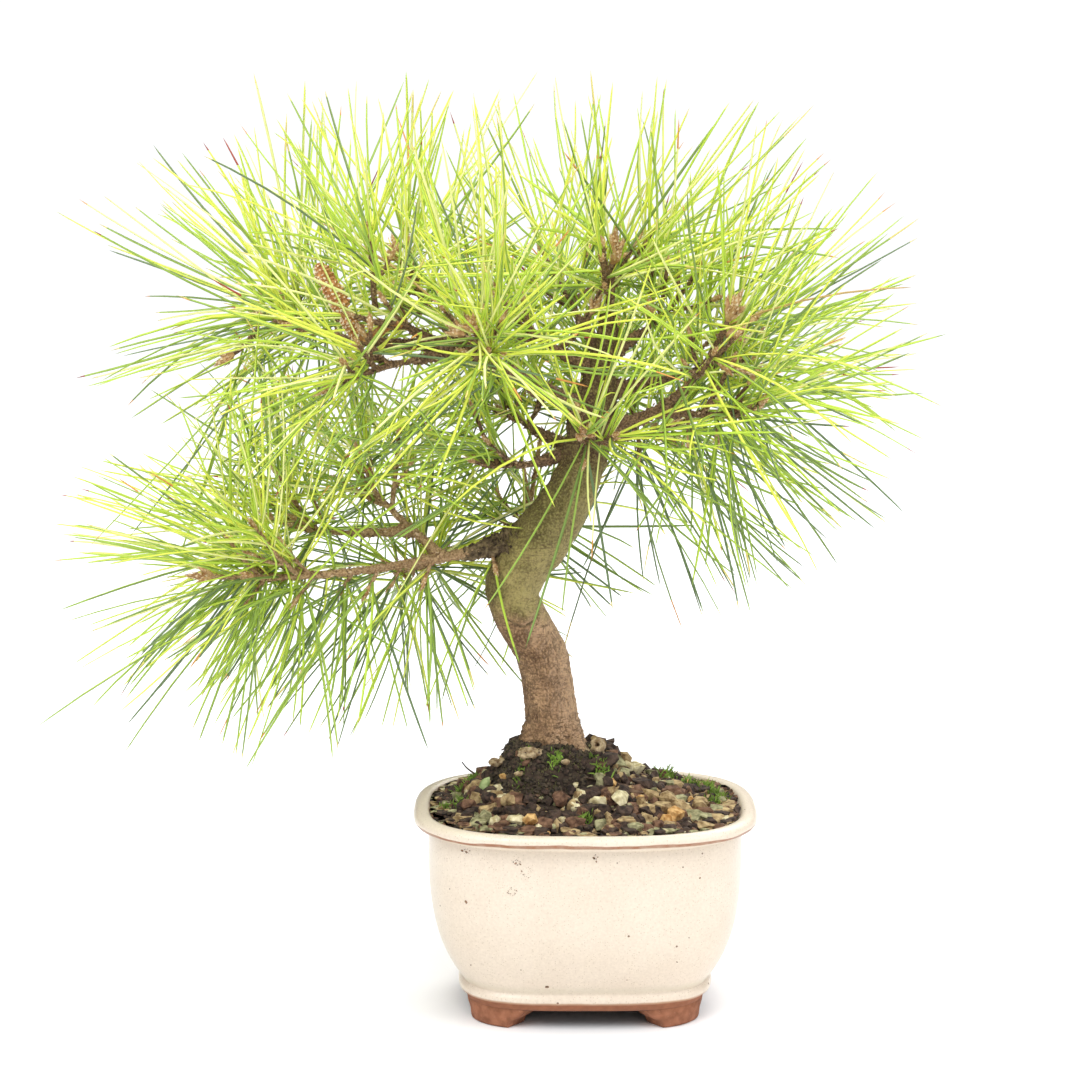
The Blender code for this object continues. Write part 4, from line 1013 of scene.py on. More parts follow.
def body_half_width(height, pot):
    """Half the width of the pot's body at a height above the floor."""
    share = (height - BODY_FOOT_HEIGHT) / (pot.height - LIP_HEIGHT - BODY_FOOT_HEIGHT)
    taper = BODY_TOP_HALF_WIDTH - BODY_FOOT_HALF_WIDTH
    return BODY_TOP_HALF_WIDTH - taper * np.maximum(0, 1 - share) ** BODY_CURVE_POWER


def inner_half_width(height, pot):
    """Half the width of the pot's hollow, a parabola drawn in to its floor."""
    share = (height - FLOOR_HEIGHT) / (pot.height - FLOOR_HEIGHT)
    return (BODY_TOP_HALF_WIDTH - WALL) * (1 - HOLLOW_DRAW * np.maximum(0, 1 - share) ** HOLLOW_POWER)


def squared(x, y, height, pot):
    """Moves points of a circle out to the pot's rounded rectangle, squarer at the foot than at the rim."""
    radius = np.maximum(np.hypot(x, y), 1e-12)
    power = BASE_CORNER_POWER + (RIM_CORNER_POWER - BASE_CORNER_POWER) * np.minimum(1, height / pot.height)
    grow = (np.abs(x / radius) ** power + np.abs(y / radius) ** power) ** (-1 / power)
    return x * grow, y * grow * pot.depth_share


def pot_profile(pot):
    """Half-widths and heights from the middle of the hollow's floor, over the lip to the underside."""
    inside = [(inner_half_width(z, pot), z) for z in np.linspace(FLOOR_HEIGHT, pot.height - 5 * MM, 14)]
    lip = [(pot.rim_half_width - inward * MM, pot.height - down * MM) for inward, down in LIP_PROFILE]
    body = [(body_half_width(z, pot), z) for z in np.linspace(pot.height - LIP_HEIGHT, BODY_FOOT_HEIGHT, 40)]
    base = [(half_width * MM, height * MM) for half_width, height in BASE_PROFILE]
    return np.array([*inside, *lip, *body, *base])


def round_rings(radii, sides):
    """Places across and deep on circles, one ring after another."""
    turns = circle(sides)
    return (radii[:, None] * np.cos(turns)).ravel(), (radii[:, None] * np.sin(turns)).ravel()


def turned(profile, sides, pot, wobble=0.0):
    """Points and faces of a profile turned round the upright axis and squared, with its ends closed."""
    z = np.repeat(profile[:, 1], sides)
    points = np.column_stack([*squared(*round_rings(profile[:, 0], sides), z, pot), z])
    if wobble:
        lumps = rough(points, 38 * MM, 3, 4) * wobble
        points = points + unit(points * (1, 1, 0)) * (lumps * (z > BASE_HEIGHT + 1 * MM))[:, None]
    ends = np.array([(0, 0, profile[0, 1]), (0, 0, profile[-1, 1])])
    return np.concatenate([points, ends]), closed_faces(len(profile), sides, True)


def make_pot(pot):
    """The glazed pot, a little uneven as a hand-glazed pot is."""
    points, faces = turned(pot_profile(pot), POT_SIDES, pot, 0.22 * MM)
    thing = build_piece("pot_glazed", points, faces, [glaze_finish(pot)], None, True, 50)
    return stand_for(thing, "cream_glaze", "pot")


def pot_front(x, z, pot):
    """The point on the front of the pot's body at a place across and a height."""
    half = float(body_half_width(z, pot))
    power = BASE_CORNER_POWER + (RIM_CORNER_POWER - BASE_CORNER_POWER) * z / pot.height
    deep = (max(0.0, half**power - abs(x) ** power)) ** (1 / power) * pot.depth_share
    return np.array((x, -deep, z))


def pit_rings():
    """The small spots of the broken rings: place across, height and radius, in millimetres."""
    rng = np.random.default_rng(SEED + 7)
    spots = []
    for x, z, radius in GLAZE_RINGS:
        for turn in rng.uniform(0, 2 * math.pi, 20):
            across = x + math.cos(turn) * radius * rng.uniform(0.6, 1.25)
            height = z + math.sin(turn) * radius * rng.uniform(0.5, 1.1)
            spots.append((across, height, rng.uniform(0.1, 0.26)))
    return spots


def pit_shape(x, z, radius, pot):
    """Points and faces of one uneven spot on the front of the pot."""
    middle = pot_front(x, z, pot)
    across = unit(pot_front(x + MM, z, pot) - pot_front(x - MM, z, pot))
    up = unit(pot_front(x, z + MM, pot) - pot_front(x, z - MM, pot))
    out = np.cross(across, up)
    turns = circle(10)
    rim = ring_ways(turns, across, up)
    uneven = 1 + 0.22 * np.sin(turns * 2 + x * 900)[:, None]
    rows = [middle + rim * radius * uneven * size + out * lift * MM for size, lift in PIT_SECTION]
    return np.concatenate([*rows, [middle - out * 0.4 * MM, middle + out * 0.2 * MM]]), closed_faces(3, 10)


def make_pits(pot):
    """Small dark pits and iron spots in the front of the glaze."""
    shape = Shape()
    for x, z, radius in (*GLAZE_PITS, *pit_rings()):
        shape.add(*pit_shape(x * MM, z * MM, radius * MM, pot))
    return stand_for(shape.build("pot_iron_pits", [surface("iron_pits")]), "cream_glaze")


def foot_ring(turn, low, across, deep, pot):
    """The rounded section of a foot at one angle of the base."""
    x, y = squared(BASE_HALF_WIDTH * math.cos(turn), BASE_HALF_WIDTH * math.sin(turn), 0, pot)
    outer = np.array((x, y, 0))
    inward = -unit(outer)
    top = BASE_HEIGHT + 0.6 * MM
    bulge, soft = 0.35 * MM, min(1.6 * MM, (top - low) * 0.4)
    section = [
        (soft * 0.9, low),
        (soft * 0.3, low + soft * 0.3),
        (0, low + soft),
        (-bulge, (low + top) / 2),
        (-bulge * 0.6, top - 0.8 * MM),
        (0.1 * MM, top),
        (FOOT_THICKNESS - 0.1 * MM, top),
        (FOOT_THICKNESS, low + soft),
        (FOOT_THICKNESS - soft * 0.3, low + soft * 0.3),
        (FOOT_THICKNESS - soft * 0.9, low),
    ]
    ring = [outer + inward * step + np.array((0, 0, height)) for step, height in section]
    return np.array(ring) * (across, deep, 1)


def foot_sections():
    """Angles and lower-edge heights from the front end of a foot, round its corner, to its side end."""
    corner = math.radians(45)
    front, side = math.acos(FOOT_FRONT_REACH), math.asin(FOOT_SIDE_REACH)
    shares = np.array(FOOT_BRACKET)
    fine = np.unique(np.concatenate([shares[:, 0], np.linspace(0, 0.6, 10), [0.99]]))
    lows = np.interp(fine, shares[:, 0], shares[:, 1]) * MM
    there = [(corner + (front - corner) * share, low) for share, low in zip(fine[::-1], lows[::-1])]
    back = [(corner + (side - corner) * share, low) for share, low in zip(fine[1:], lows[1:])]
    return there + back


def make_feet(pot):
    """Four bracket feet of bare clay."""
    tones = shade(pot.clay, 0.8), shade(pot.clay, 1.25)
    speck = ((0.42, 0.24, 0.16), 900.0, 0.12, 0.3)
    clay = mottled_finish("bare_clay", *tones, 210.0, 0.85, (1100.0, 0.5, 0.3), speck)
    for deep, row in ((-1, "front"), (1, "back")):
        for across, side in ((-1, "left"), (1, "right")):
            rings = np.array([foot_ring(turn, low, across, deep, pot) for turn, low in foot_sections()])
            points = rings.reshape(-1, 3)
            points = points + rough(points, 9 * MM, 3, 7)[:, None] * unit(points * (1, 1, 0)) * 0.12 * MM
            ends = np.stack([rings[0].mean(axis=0), rings[-1].mean(axis=0)])
            faces = closed_faces(*rings.shape[:2], across * deep < 0)
            name = f"foot_{row}_{side}"
            points = np.concatenate([points, ends])
            thing = build_piece(f"{name}_clay", points, faces, [clay], None, True, 60)
            stand_for(thing, "bare_clay", name)


# Soil, stones and moss


def soil_share(x, y, pot):
    """How far out towards the wall a place on the soil lies, 0 at the trunk's foot and 1 at the wall."""
    edge = inner_half_width(SOIL_EDGE_HEIGHT, pot) - SOIL_GAP
    _, foot_x, foot_y, _ = TRUNK_STATIONS[0]
    low, high = np.zeros_like(x), np.full_like(x, 1.4)
    for _ in range(24):
        middle = (low + high) / 2
        across = np.abs(x - foot_x * MM * (1 - middle))
        deep = np.abs(y - foot_y * MM * (1 - middle)) / pot.depth_share
        out = (across**SOIL_POWER + deep**SOIL_POWER) ** (1 / SOIL_POWER) > middle * edge
        low, high = np.where(out, middle, low), np.where(out, high, middle)
    return low


def heaps(x, y):
    """The height of the low heaps on the soil at a place."""
    tall = 0
    for across, deep, wide, long, height in SOIL_HEAPS:
        away = ((x - across * MM) / (wide * MM)) ** 2 + ((y - deep * MM) / (long * MM)) ** 2
        tall = tall + np.exp(-away) * height * MM
    return tall


def soil_height(x, y, pot):
    """Height of the smooth soil under a place."""
    x, y = np.asarray(x, float), np.asarray(y, float)
    share = soil_share(x, y, pot)
    rings = np.array(SOIL_RINGS)
    level = np.interp(share, rings[:, 0], rings[:, 1]) * MM
    level = level + heaps(x, y) * np.clip((1 - share) * 4, 0, 1)
    steep = np.clip((1 - clump_distance(x, y)) / 0.55, 0, 1)
    return level + (CLUMP_TOP - level) * steep * steep * (3 - 2 * steep)


def clump_distance(x, y):
    """How far from the middle of the clump of old roots a place lies, as a share of its half-widths."""
    return np.hypot((x - CLUMP_MIDDLE[0]) / CLUMP_WIDTHS[0], (y - CLUMP_MIDDLE[1]) / CLUMP_WIDTHS[1])


def soil_surface(pot):
    """Points and faces of the soil: a rough dome over a plain body that fills the pot."""
    shares = np.concatenate([np.linspace(0.04, 0.5, 34), np.linspace(0.515, 1, 30)])
    x, y = round_rings(shares * (inner_half_width(SOIL_EDGE_HEIGHT, pot) - SOIL_GAP), SOIL_SIDES)
    x, y = squared(x, y, np.full_like(x, SOIL_EDGE_HEIGHT), pot)
    _, foot_x, foot_y, _ = TRUNK_STATIONS[0]
    pull = 1 - np.repeat(shares, SOIL_SIDES)
    x, y = x + foot_x * MM * pull, y + foot_y * MM * pull
    flat = np.stack([x, y, soil_height(x, y, pot)], axis=1)
    clump = np.clip((1 - clump_distance(x, y)) * 3, 0, 1)
    lumps = rough(flat, 8 * MM, 4, 1) * (0.9 + 2.2 * clump)
    lumps += rough(flat, 2.6 * MM, 2, 2) * (0.45 + 0.5 * clump)
    flat[:, 2] += lumps * np.clip(pull * 12, 0, 1) * MM
    heights = np.linspace(SOIL_EDGE_HEIGHT - 1 * MM, FLOOR_HEIGHT + SOIL_CLEARANCE, 8)
    halves = np.array([inner_half_width(height, pot) - SOIL_GAP for height in heights])
    z = np.repeat(heights, SOIL_SIDES)
    wall = np.column_stack([*squared(*round_rings(halves, SOIL_SIDES), z, pot), z])
    ends = np.array([(foot_x * MM, foot_y * MM, CLUMP_TOP), (0, 0, FLOOR_HEIGHT + SOIL_CLEARANCE)])
    return np.concatenate([flat, wall, ends]), closed_faces(len(shares) + len(heights), SOIL_SIDES, True)


def loose_piece(name, points, faces, finish):
    """A flat-shaded piece of many small things that lie on the soil."""
    thing = build_piece(name, points.reshape(-1, 3), [faces.reshape(-1, 3)], [finish], None, False)
    return stand_for(thing, "gritty_soil")


def even_sphere(count):
    """Points spread evenly over a sphere of radius one."""
    turns = np.arange(count) * GOLDEN_ANGLE
    level = 1 - (np.arange(count) + 0.5) * 2 / count
    ring = np.sqrt(1 - level**2)
    return np.stack([ring * np.cos(turns), ring * np.sin(turns), level], axis=1)


def hull_faces(points):
    """Triangles of the closed shape round points on a sphere, turned outwards."""
    trios = np.array(list(itertools.combinations(range(len(points)), 3)))
    a, b, c = (points[trios[:, k]] for k in range(3))
    across = np.cross(b - a, c - a)
    side = np.einsum("tk,tnk->tn", across, points[None] - a[:, None])
    outward, inward = (side < 1e-9).all(axis=1), (side > -1e-9).all(axis=1)
    return np.concatenate([trios[outward], trios[inward][:, ::-1]])


def random_turns(count, rng):
    """Random rotations, as matrices."""
    q = unit(rng.normal(size=(count, 4)))
    w, x, y, z = q.T
    return np.stack(
        [
            np.stack([1 - 2 * (y * y + z * z), 2 * (x * y - z * w), 2 * (x * z + y * w)], axis=-1),
            np.stack([2 * (x * y + z * w), 1 - 2 * (x * x + z * z), 2 * (y * z - x * w)], axis=-1),
            np.stack([2 * (x * z - y * w), 2 * (y * z + x * w), 1 - 2 * (x * x + y * y)], axis=-1),
        ],
        axis=1,
    )


def stone_shapes(count, rng, flatness):
    """Angular stones of about radius one in three different widths, and the triangles of each."""
    sphere = even_sphere(STONE_CORNERS)
    seeds = [unit(sphere + rng.normal(0, 0.24, sphere.shape)) for _ in range(STONE_SEEDS)]
    hulls = [hull_faces(seed) for seed in seeds]
    pick = rng.integers(0, STONE_SEEDS, count)
    stones = np.array(seeds)[pick] * (1 + rng.normal(0, 0.09, (count, STONE_CORNERS, 1)))
    wide, high = rng.uniform(0.66, 1.0, count), rng.uniform(*flatness, count)
    widths = np.stack([np.ones(count), wide, high], axis=-1)
    faces = np.array(hulls)[pick] + (np.arange(count) * STONE_CORNERS)[:, None, None]
    return stones * widths[:, None, :], faces


def spun_stones(count, rng, flatness):
    """Stones turned every way, and the triangles of each."""
    shapes, faces = stone_shapes(count, rng, flatness)
    return np.einsum("nij,nvj->nvi", random_turns(count, rng), shapes), faces


def scatter_places(count, rng, pot):
    """Random places on the soil, clear of the wall and of the trunk's foot."""
    edge = inner_half_width(SOIL_EDGE_HEIGHT, pot) * 1.06
    x = rng.uniform(-edge, edge, count * 2)
    y = rng.uniform(-edge, edge, count * 2) * pot.depth_share
    share = soil_share(x, y, pot)
    keep = (share < 1.07) & (clump_distance(x, y) > 0.62)
    return x[keep][:count], y[keep][:count]


def wall_heap(x, y, pot):
    """How far the grit is heaped up against the pot's wall at a place."""
    side = np.where(x > 45 * MM, 0.35, 1.0)
    return np.clip((soil_share(x, y, pot) - 0.84) * 24 * MM, 0, 4.2 * MM) * side


def make_stones(soil, pot):
    """Angular grit over the whole soil, joined by kind."""
    rng = np.random.default_rng(SEED)
    x, y = scatter_places(soil.stones, rng, pot)
    count = len(x)
    kinds = rng.choice(len(STONE_KINDS), size=count, p=STONE_SHARES)
    size = soil.stone_size / 2 * np.clip(rng.lognormal(0, 0.5, count), 0.36, 2.3)
    named = np.array([row[1:] for row in NAMED_STONES]) * MM
    gaps = np.hypot(x[:, None] - named[:, 0], y[:, None] - named[:, 1]) - named[:, 2] * 0.8
    size = np.where(gaps.min(axis=1) < 0, size * 0.45, size)
    x, y = np.concatenate([x, named[:, 0]]), np.concatenate([y, named[:, 1]])
    size = np.concatenate([size, named[:, 2] * 1.08])
    kinds = np.concatenate([kinds, [STONE_KINDS.index(row[0]) for row in NAMED_STONES]])
    common = np.arange(len(x)) < count
    shapes, faces = spun_stones(len(x), rng, (0.6, 0.9))
    level = soil_height(x, y, pot)
    clump = np.clip((1.12 - clump_distance(x, y)) * 4, 0, 1)
    size = size * (1 - 0.6 * clump)
    kinds = np.where((clump > 0.3) & (rng.uniform(size=len(x)) < 0.85) & common, 0, kinds)
    lift = size * np.where(common, rng.uniform(-0.15, 0.5, len(x)), 0.7) + wall_heap(x, y, pot)
    stones = shapes * size[:, None, None] + np.stack([x, y, level + lift], axis=-1)[:, None, :]
    crest = np.where(common, 4.8 * MM, 8 * MM)
    stones[..., 2] = np.minimum(stones[..., 2], (level + crest)[:, None])
    stones = keep_inside(stones, pot)
    for k, kind in enumerate(STONE_KINDS):
        chosen = np.flatnonzero(kinds == k)
        moved = (np.arange(len(chosen)) - chosen) * STONE_CORNERS
        blocks = faces[chosen] + moved[:, None, None]
        loose_piece(f"grit_{kind}", stones[chosen], blocks, surface(f"grit_{kind}"))


def keep_inside(points, pot):
    """Draws points in so that they stay clear of the pot's wall, which opens out under the lip."""
    level = np.clip((points[..., 2] - 99.5 * MM) / (3.5 * MM), 0, 1)
    edge = BODY_TOP_HALF_WIDTH - WALL - 1 * MM + 5.2 * MM * level
    x, y = np.abs(points[..., 0]), np.abs(points[..., 1]) / pot.depth_share
    reach = (x**SOIL_POWER + y**SOIL_POWER) ** (1 / SOIL_POWER)
    factor = np.minimum(1, edge / np.maximum(reach, 1e-9))
    return points * np.stack([factor, factor, np.ones_like(factor)], axis=-1)


def blades(places, ways, lengths, widths, rng):
    """Points and faces of small pointed blades, each a three-sided spike that bends over."""
    count = len(places)
    across = unit(np.cross(ways, rng.normal(size=(count, 3))))
    other = np.cross(ways, across)
    rings = []
    for share, size in BLADE_STATIONS:
        middle = places + ways * (lengths * share)[:, None]
        for turn in BLADE_TURNS:
            out = across * math.cos(turn) + other * math.sin(turn)
            rings.append(middle + out * (widths * size / 2)[:, None])
    bend = rng.normal(size=(count, 3)) * 0.16 - np.array((0, 0, 0.12))
    rings.append(places + (ways + bend) * lengths[:, None])
    return np.stack(rings, axis=1).reshape(-1, 3), repeated(BLADE_FACES, count, 7)


def make_moss(soil, pot):
    """Tufts of moss and seedlings between the stones, and a thin coat on the clump of old roots."""
    rng = np.random.default_rng(SEED + 1)
    places, lengths = [], []
    for x, y, radius, length in MOSS_TUFTS:
        count = int(12 + radius * 9)
        spread = rng.normal(size=(count, 2)) * radius * 0.4 + (x, y)
        places.append(spread * MM)
        lengths.append(rng.uniform(0.45, 1.05, count) * length * MM)
    coat = rng.uniform((-50, -27), (12, 20), size=(7000, 2)) * MM
    patch = np.array([noise.noise(Vector((x, y, 0)) / (9 * MM)) for x, y in coat])
    coat = coat[(clump_distance(coat[:, 0], coat[:, 1]) < 0.95) & (patch > -0.12)]
    places.append(coat)
    lengths.append(rng.uniform(0.6, 1.7, len(coat)) * MM)
    flat, sizes = np.concatenate(places), np.concatenate(lengths)
    level = soil_height(flat[:, 0], flat[:, 1], pot) + 0.4 * MM
    tufts = len(flat) - len(coat)
    level[:tufts] += 1.3 * MM + wall_heap(flat[:tufts, 0], flat[:tufts, 1], pot)
    roots = keep_inside(np.column_stack([flat, level]), pot)
    ways = unit(rng.normal(size=(len(roots), 3)) * (0.55, 0.55, 0.3) + (0, 0, 1))
    points, faces = blades(roots, ways, sizes, np.clip(sizes * 0.2, 0.3 * MM, 0.9 * MM), rng)
    tones = shade(soil.moss, 0.6), shade(soil.moss, 1.3)
    fresh = mottled_finish("moss_fresh", *tones, 160.0, 0.8, (900.0, 0.2, 0.1))
    kinds = np.repeat((np.arange(len(roots)) >= tufts).astype(int), 10)
    thing = build_piece("moss_tufts", points, [faces], [fresh, surface("moss_dull")], kinds, False)
    return stand_for(thing, "gritty_soil")


def make_litter(pot):
    """Chips of bark on the soil, with two large ones at the front."""
    rng = np.random.default_rng(SEED + 2)
    x, y = scatter_places(170, rng, pot)
    x, y = np.append(x, (22.0 * MM, 30.0 * MM)), np.append(y, (-16.5 * MM, -14.0 * MM))
    size = rng.uniform(1.4, 3.4, len(x)) * MM
    size[-2:] = 7.5 * MM, 5.5 * MM
    shapes, faces = stone_shapes(len(x), rng, (0.12, 0.3))
    turns = rng.uniform(0, 2 * math.pi, len(x))
    turns[-2:] = -0.15, 0.2
    across, deep, up = np.moveaxis(shapes * np.array((1.5, 0.55, 1)) * size[:, None, None], -1, 0)
    cos, sin = np.cos(turns)[:, None], np.sin(turns)[:, None]
    chips = np.stack([across * cos - deep * sin, across * sin + deep * cos, up], axis=-1)
    level = soil_height(x, y, pot) + 1.8 * MM
    slope = (soil_height(x + MM, y, pot) - soil_height(x - MM, y, pot)) / (2 * MM)
    chips[..., 2] += chips[..., 0] * np.clip(slope, -0.5, 0.5)[:, None]
    chips = keep_inside(chips + np.stack([x, y, level], axis=-1)[:, None, :], pot)
    loose_piece("bark_chips", chips, faces, surface("bark_chips"))


def make_crumbs(pot):
    """Fine dark crumbs that coat the clump of old roots."""
    rng = np.random.default_rng(SEED + 3)
    x, y = rng.uniform((-52, -30), (16, 30), size=(2600, 2)).T * MM
    keep = clump_distance(x, y) < 1.05
    x, y = x[keep], y[keep]
    size = rng.uniform(0.5, 1.8, len(x)) * MM
    shapes, faces = spun_stones(len(x), rng, (0.6, 0.95))
    level = soil_height(x, y, pot) + size * 0.4
    crumbs = shapes * size[:, None, None] + np.stack([x, y, level], -1)[:, None, :]
    loose_piece("root_crumbs", crumbs, faces, surface("dark_crumbs"))


def make_root_lumps():
    """Pale stubs of old roots, with a small hollow knob beside the trunk."""
    shape = Shape()
    fine = even_sphere(14)
    blocks = hull_faces(fine)
    for _ in range(4):
        fine, blocks = finer(fine, blocks)
    for index, (middle, widths) in enumerate(ROOT_LUMPS):
        points = fine * np.array(widths) * MM
        bumps = rough(points, 2.2 * MM, 5, 11 + index)
        points = points * (1 + 0.24 * bumps)[:, None] + np.array(middle) * MM
        shape.add(points, [blocks])
    shape.add(*knob_shape())
    for number, root in enumerate(KNOB_ROOTS):
        rows = smooth_stations(np.array(root) * MM, 30)
        shape.add(*bar(rows[:, :3], rows[:, 3], 24, scaly_relief(0.16, 3 * MM, 22 + number)))
    thing = shape.build("old_root_ends", [surface("old_root")], True, 70)
    return stand_for(thing, "gritty_soil")


def knob_shape():
    """Points and faces of a round root end whose middle has rotted out."""
    axis = unit(np.array((-0.12, -0.9, 0.38)))
    side = unit(np.cross(axis, (0, 0, 1.0)))
    ring = ring_ways(circle(KNOB_SIDES), side, np.cross(axis, side))
    points = np.concatenate([ring * radius * MM + axis * out * MM for out, radius in KNOB_PROFILE])
    points = points * (1 + 0.26 * rough(points, 2.4 * MM, 5, 21))[:, None] + np.array(KNOB_PLACE) * MM
    ends = np.stack([points[:KNOB_SIDES].mean(axis=0), points[-KNOB_SIDES:].mean(axis=0)])
    return np.concatenate([points, ends]), closed_faces(len(KNOB_PROFILE), KNOB_SIDES)


def finer(points, faces):
    """Splits every triangle of a round mesh into four."""
    points = list(map(tuple, points))
    middles = {}

    def middle(a, b):
        key = (min(a, b), max(a, b))
        if key not in middles:
            place = np.array(points[a]) + np.array(points[b])
            middles[key] = len(points)
            points.append(tuple(place / np.linalg.norm(place)))
        return middles[key]

    split = []
    for a, b, c in faces:
        ab, bc, ca = middle(a, b), middle(b, c), middle(c, a)
        split += [(a, ab, ca), (ab, b, bc), (ca, bc, c), (ab, bc, ca)]
    return np.array(points), np.array(split)


def make_leaf_and_stick(pot):
    """A small green leaf blade and a thin dark stick that stand in the soil."""
    level = float(soil_height(-53.0 * MM, -15.0 * MM, pot)) / MM
    path = (np.array(LEAF_PATH)[:, :3] + (0, 0, level)) * MM
    rows = smooth_stations(np.column_stack([path, [row[3] for row in LEAF_PATH]]), 12)
    middle, widths = rows[:, :3], rows[:, 3] * MM
    across = unit(np.array((0.75, -0.2, -0.55)))
    face = unit(np.array((0.2, -1, 0.25)))
    points = [m + across * w * a + face * w * b for m, w in zip(middle, widths) for a, b in LEAF_SECTION]
    leaf = Shape()
    leaf.add(np.concatenate([points, middle[:1], middle[-1:]]), closed_faces(12, len(LEAF_SECTION)))
    stand_for(leaf.build("fallen_leaf", [surface("leaf_blade")]), "gritty_soil")
    stick = np.array(STICK_PATH)
    rows = smooth_stations(np.column_stack([stick[:, :3] * MM, stick[:, 3]]), 20)
    wood = Shape()
    wood.add(*bar(rows[:, :3], rows[:, 3] * MM, 6))
    stand_for(wood.build("dead_stick", [surface("dead_stick")]), "gritty_soil")


# Trunk and boughs


def trunk_path():
    """The points of the trunk's axis, as the solid has them."""
    foot = SOIL_TOP + CLEARANCE
    return [Vector((x * MM, y * MM, foot + height * MM)) for height, x, y, _ in TRUNK_STATIONS]


def trunk_stations(gap):
    """The trunk's places and radii in millimetres, with its foot a gap above the soil's top."""
    foot = (SOIL_TOP + gap) / MM
    return np.array([(x, y, height + foot, radius) for height, x, y, radius in TRUNK_STATIONS])


def along(points, share):
    """The point at a share of the way along a path, counted by its length."""
    lengths = [(b - a).length for a, b in zip(points, points[1:])]
    left = share * sum(lengths)
    for start, end, length in zip(points, points[1:], lengths):
        if left <= length:
            return start.lerp(end, left / length)
        left -= length
    return points[-1].copy()


def trunk_share(height):
    """The share of the trunk's length at a height above the soil."""
    points = trunk_path()
    level = SOIL_TOP + height * MM
    walked = 0.0
    for a, b in zip(points, points[1:]):
        if a.z <= level <= b.z:
            walked += (b - a).length * (level - a.z) / (b.z - a.z)
            break
        walked += (b - a).length
    return walked / sum((b - a).length for a, b in zip(points, points[1:]))


def limb_point(limb, root, t):
    """The point at a share t of a limb that leaves from root."""
    turn = math.radians(limb.heading)
    ahead = Vector((math.cos(turn), math.sin(turn), 0))
    left = Vector((-math.sin(turn), math.cos(turn), 0))
    bow = 4 * t * (1 - t)
    climb = limb.rise * t + limb.arch * bow + limb.turn_up * (t**4 - t)
    return root + (ahead * limb.reach * t + left * limb.swing * bow + Vector((0, 0, climb))) * MM


def limb_roots():
    """Root point of every limb, found in order from its parent."""
    points = trunk_path()
    roots = {}
    for limb in LIMBS:
        if limb.parent == "trunk":
            roots[limb.name] = along(points, trunk_share(limb.leaves))
        else:
            parent = next(other for other in LIMBS if other.name == limb.parent)
            roots[limb.name] = limb_point(parent, roots[parent.name], limb.leaves)
    return roots


def limb_radius(limb, t):
    """Radius of a limb at a share of its length."""
    return (limb.thick + (limb.thin - limb.thick) * t**0.8) * MM


def joint_gap(limb, root):
    """Room that the solid leaves between a bough's end and its stem."""
    joint = limb_point(limb, root, limb.bare)
    before = limb_point(limb, root, limb.bare * (1 - 1 / (BOUGH_STATIONS - 1)))
    after = limb_point(limb, root, limb.bare + (1 - limb.bare) / (STEM_STATIONS - 1))
    bend = (joint - before).angle(after - joint)
    return CLEARANCE * 1.2 + limb_radius(limb, limb.bare) * math.tan(bend)


def stem_path(limb, root):
    """Points of the part of a limb inside its foliage."""
    if limb.name == APEX.name:
        start = trunk_path()[-1] + Vector((0, 0, CLEARANCE))
        return [start + APEX_STEM * t for t in np.linspace(0, 1, STEM_STATIONS)]
    length = (limb_point(limb, root, limb.bare + 0.05) - limb_point(limb, root, limb.bare)).length / 0.05
    shares = np.linspace(limb.bare + joint_gap(limb, root) / length, 1, STEM_STATIONS)
    return [limb_point(limb, root, float(t)) for t in shares]


def trunk_relief(amount, marks):
    """The relief of the trunk's bark: wrinkles low down, upright fissures, and a fold over the elbow.

    marks takes the distance of each point above the fold's edge.
    """

    def relief(path, around, reach, turns):
        shape = reach.shape
        walked = walk(path)
        height = path[:, 2:] + around[..., 2] * reach
        grid = np.stack(
            [
                np.broadcast_to(np.cos(turns) * 13 * MM, shape),
                np.broadcast_to(np.sin(turns) * 13 * MM, shape),
                np.broadcast_to(walked[:, None], shape),
            ],
            axis=-1,
        ).reshape(-1, 3)
        lumps = rough(grid, 11 * MM, 3, 31).reshape(shape)
        sway = rough(grid, 7 * MM, 2, 36)[:, None] * (0, 0, 1.6 * MM)
        wrinkles = -np.abs(rough((grid + sway) * (0.3, 0.3, 1), 1.9 * MM, 3, 32)).reshape(shape)
        fissures = -np.abs(rough(grid * (1, 1, 0.2), 1.7 * MM, 3, 33)).reshape(shape)
        grit = rough(grid, 0.9 * MM, 2, 34).reshape(shape)
        patch = np.clip(0.5 + 1.6 * rough(grid, 13 * MM, 2, 35).reshape(shape), 0, 1)
        low = np.clip((FOLD_HEIGHT - height) / (10 * MM), 0, 1)
        top = np.clip((height - 258 * MM) / (20 * MM), 0, 1)
        creased = low * np.clip((height - 142 * MM) / (14 * MM), 0.25, 1)
        total = lumps * (1.1 + 1.6 * top)
        total += wrinkles * (0.25 + 1.5 * creased * patch)
        total += fissures * (0.45 + 0.6 * low * (1.2 - patch) + 0.8 * top)
        total += grit * (0.3 + 0.5 * top)
        fade = np.clip(reach / (9 * MM), 0.25, 1)
        fold = height - FOLD_HEIGHT - 17 * MM * (1 + around[..., 1]) ** 0.8 - 1.5 * MM * lumps
        marks["fold"] = fold
        over = np.clip(fold / (1.4 * MM), 0, 1) * np.exp(-np.maximum(fold, 0) / (9 * MM))
        under = np.exp(-((fold / (1.5 * MM)) ** 2))
        return total * amount * fade + over * 1.5 * MM - under * 0.9 * MM

    return relief


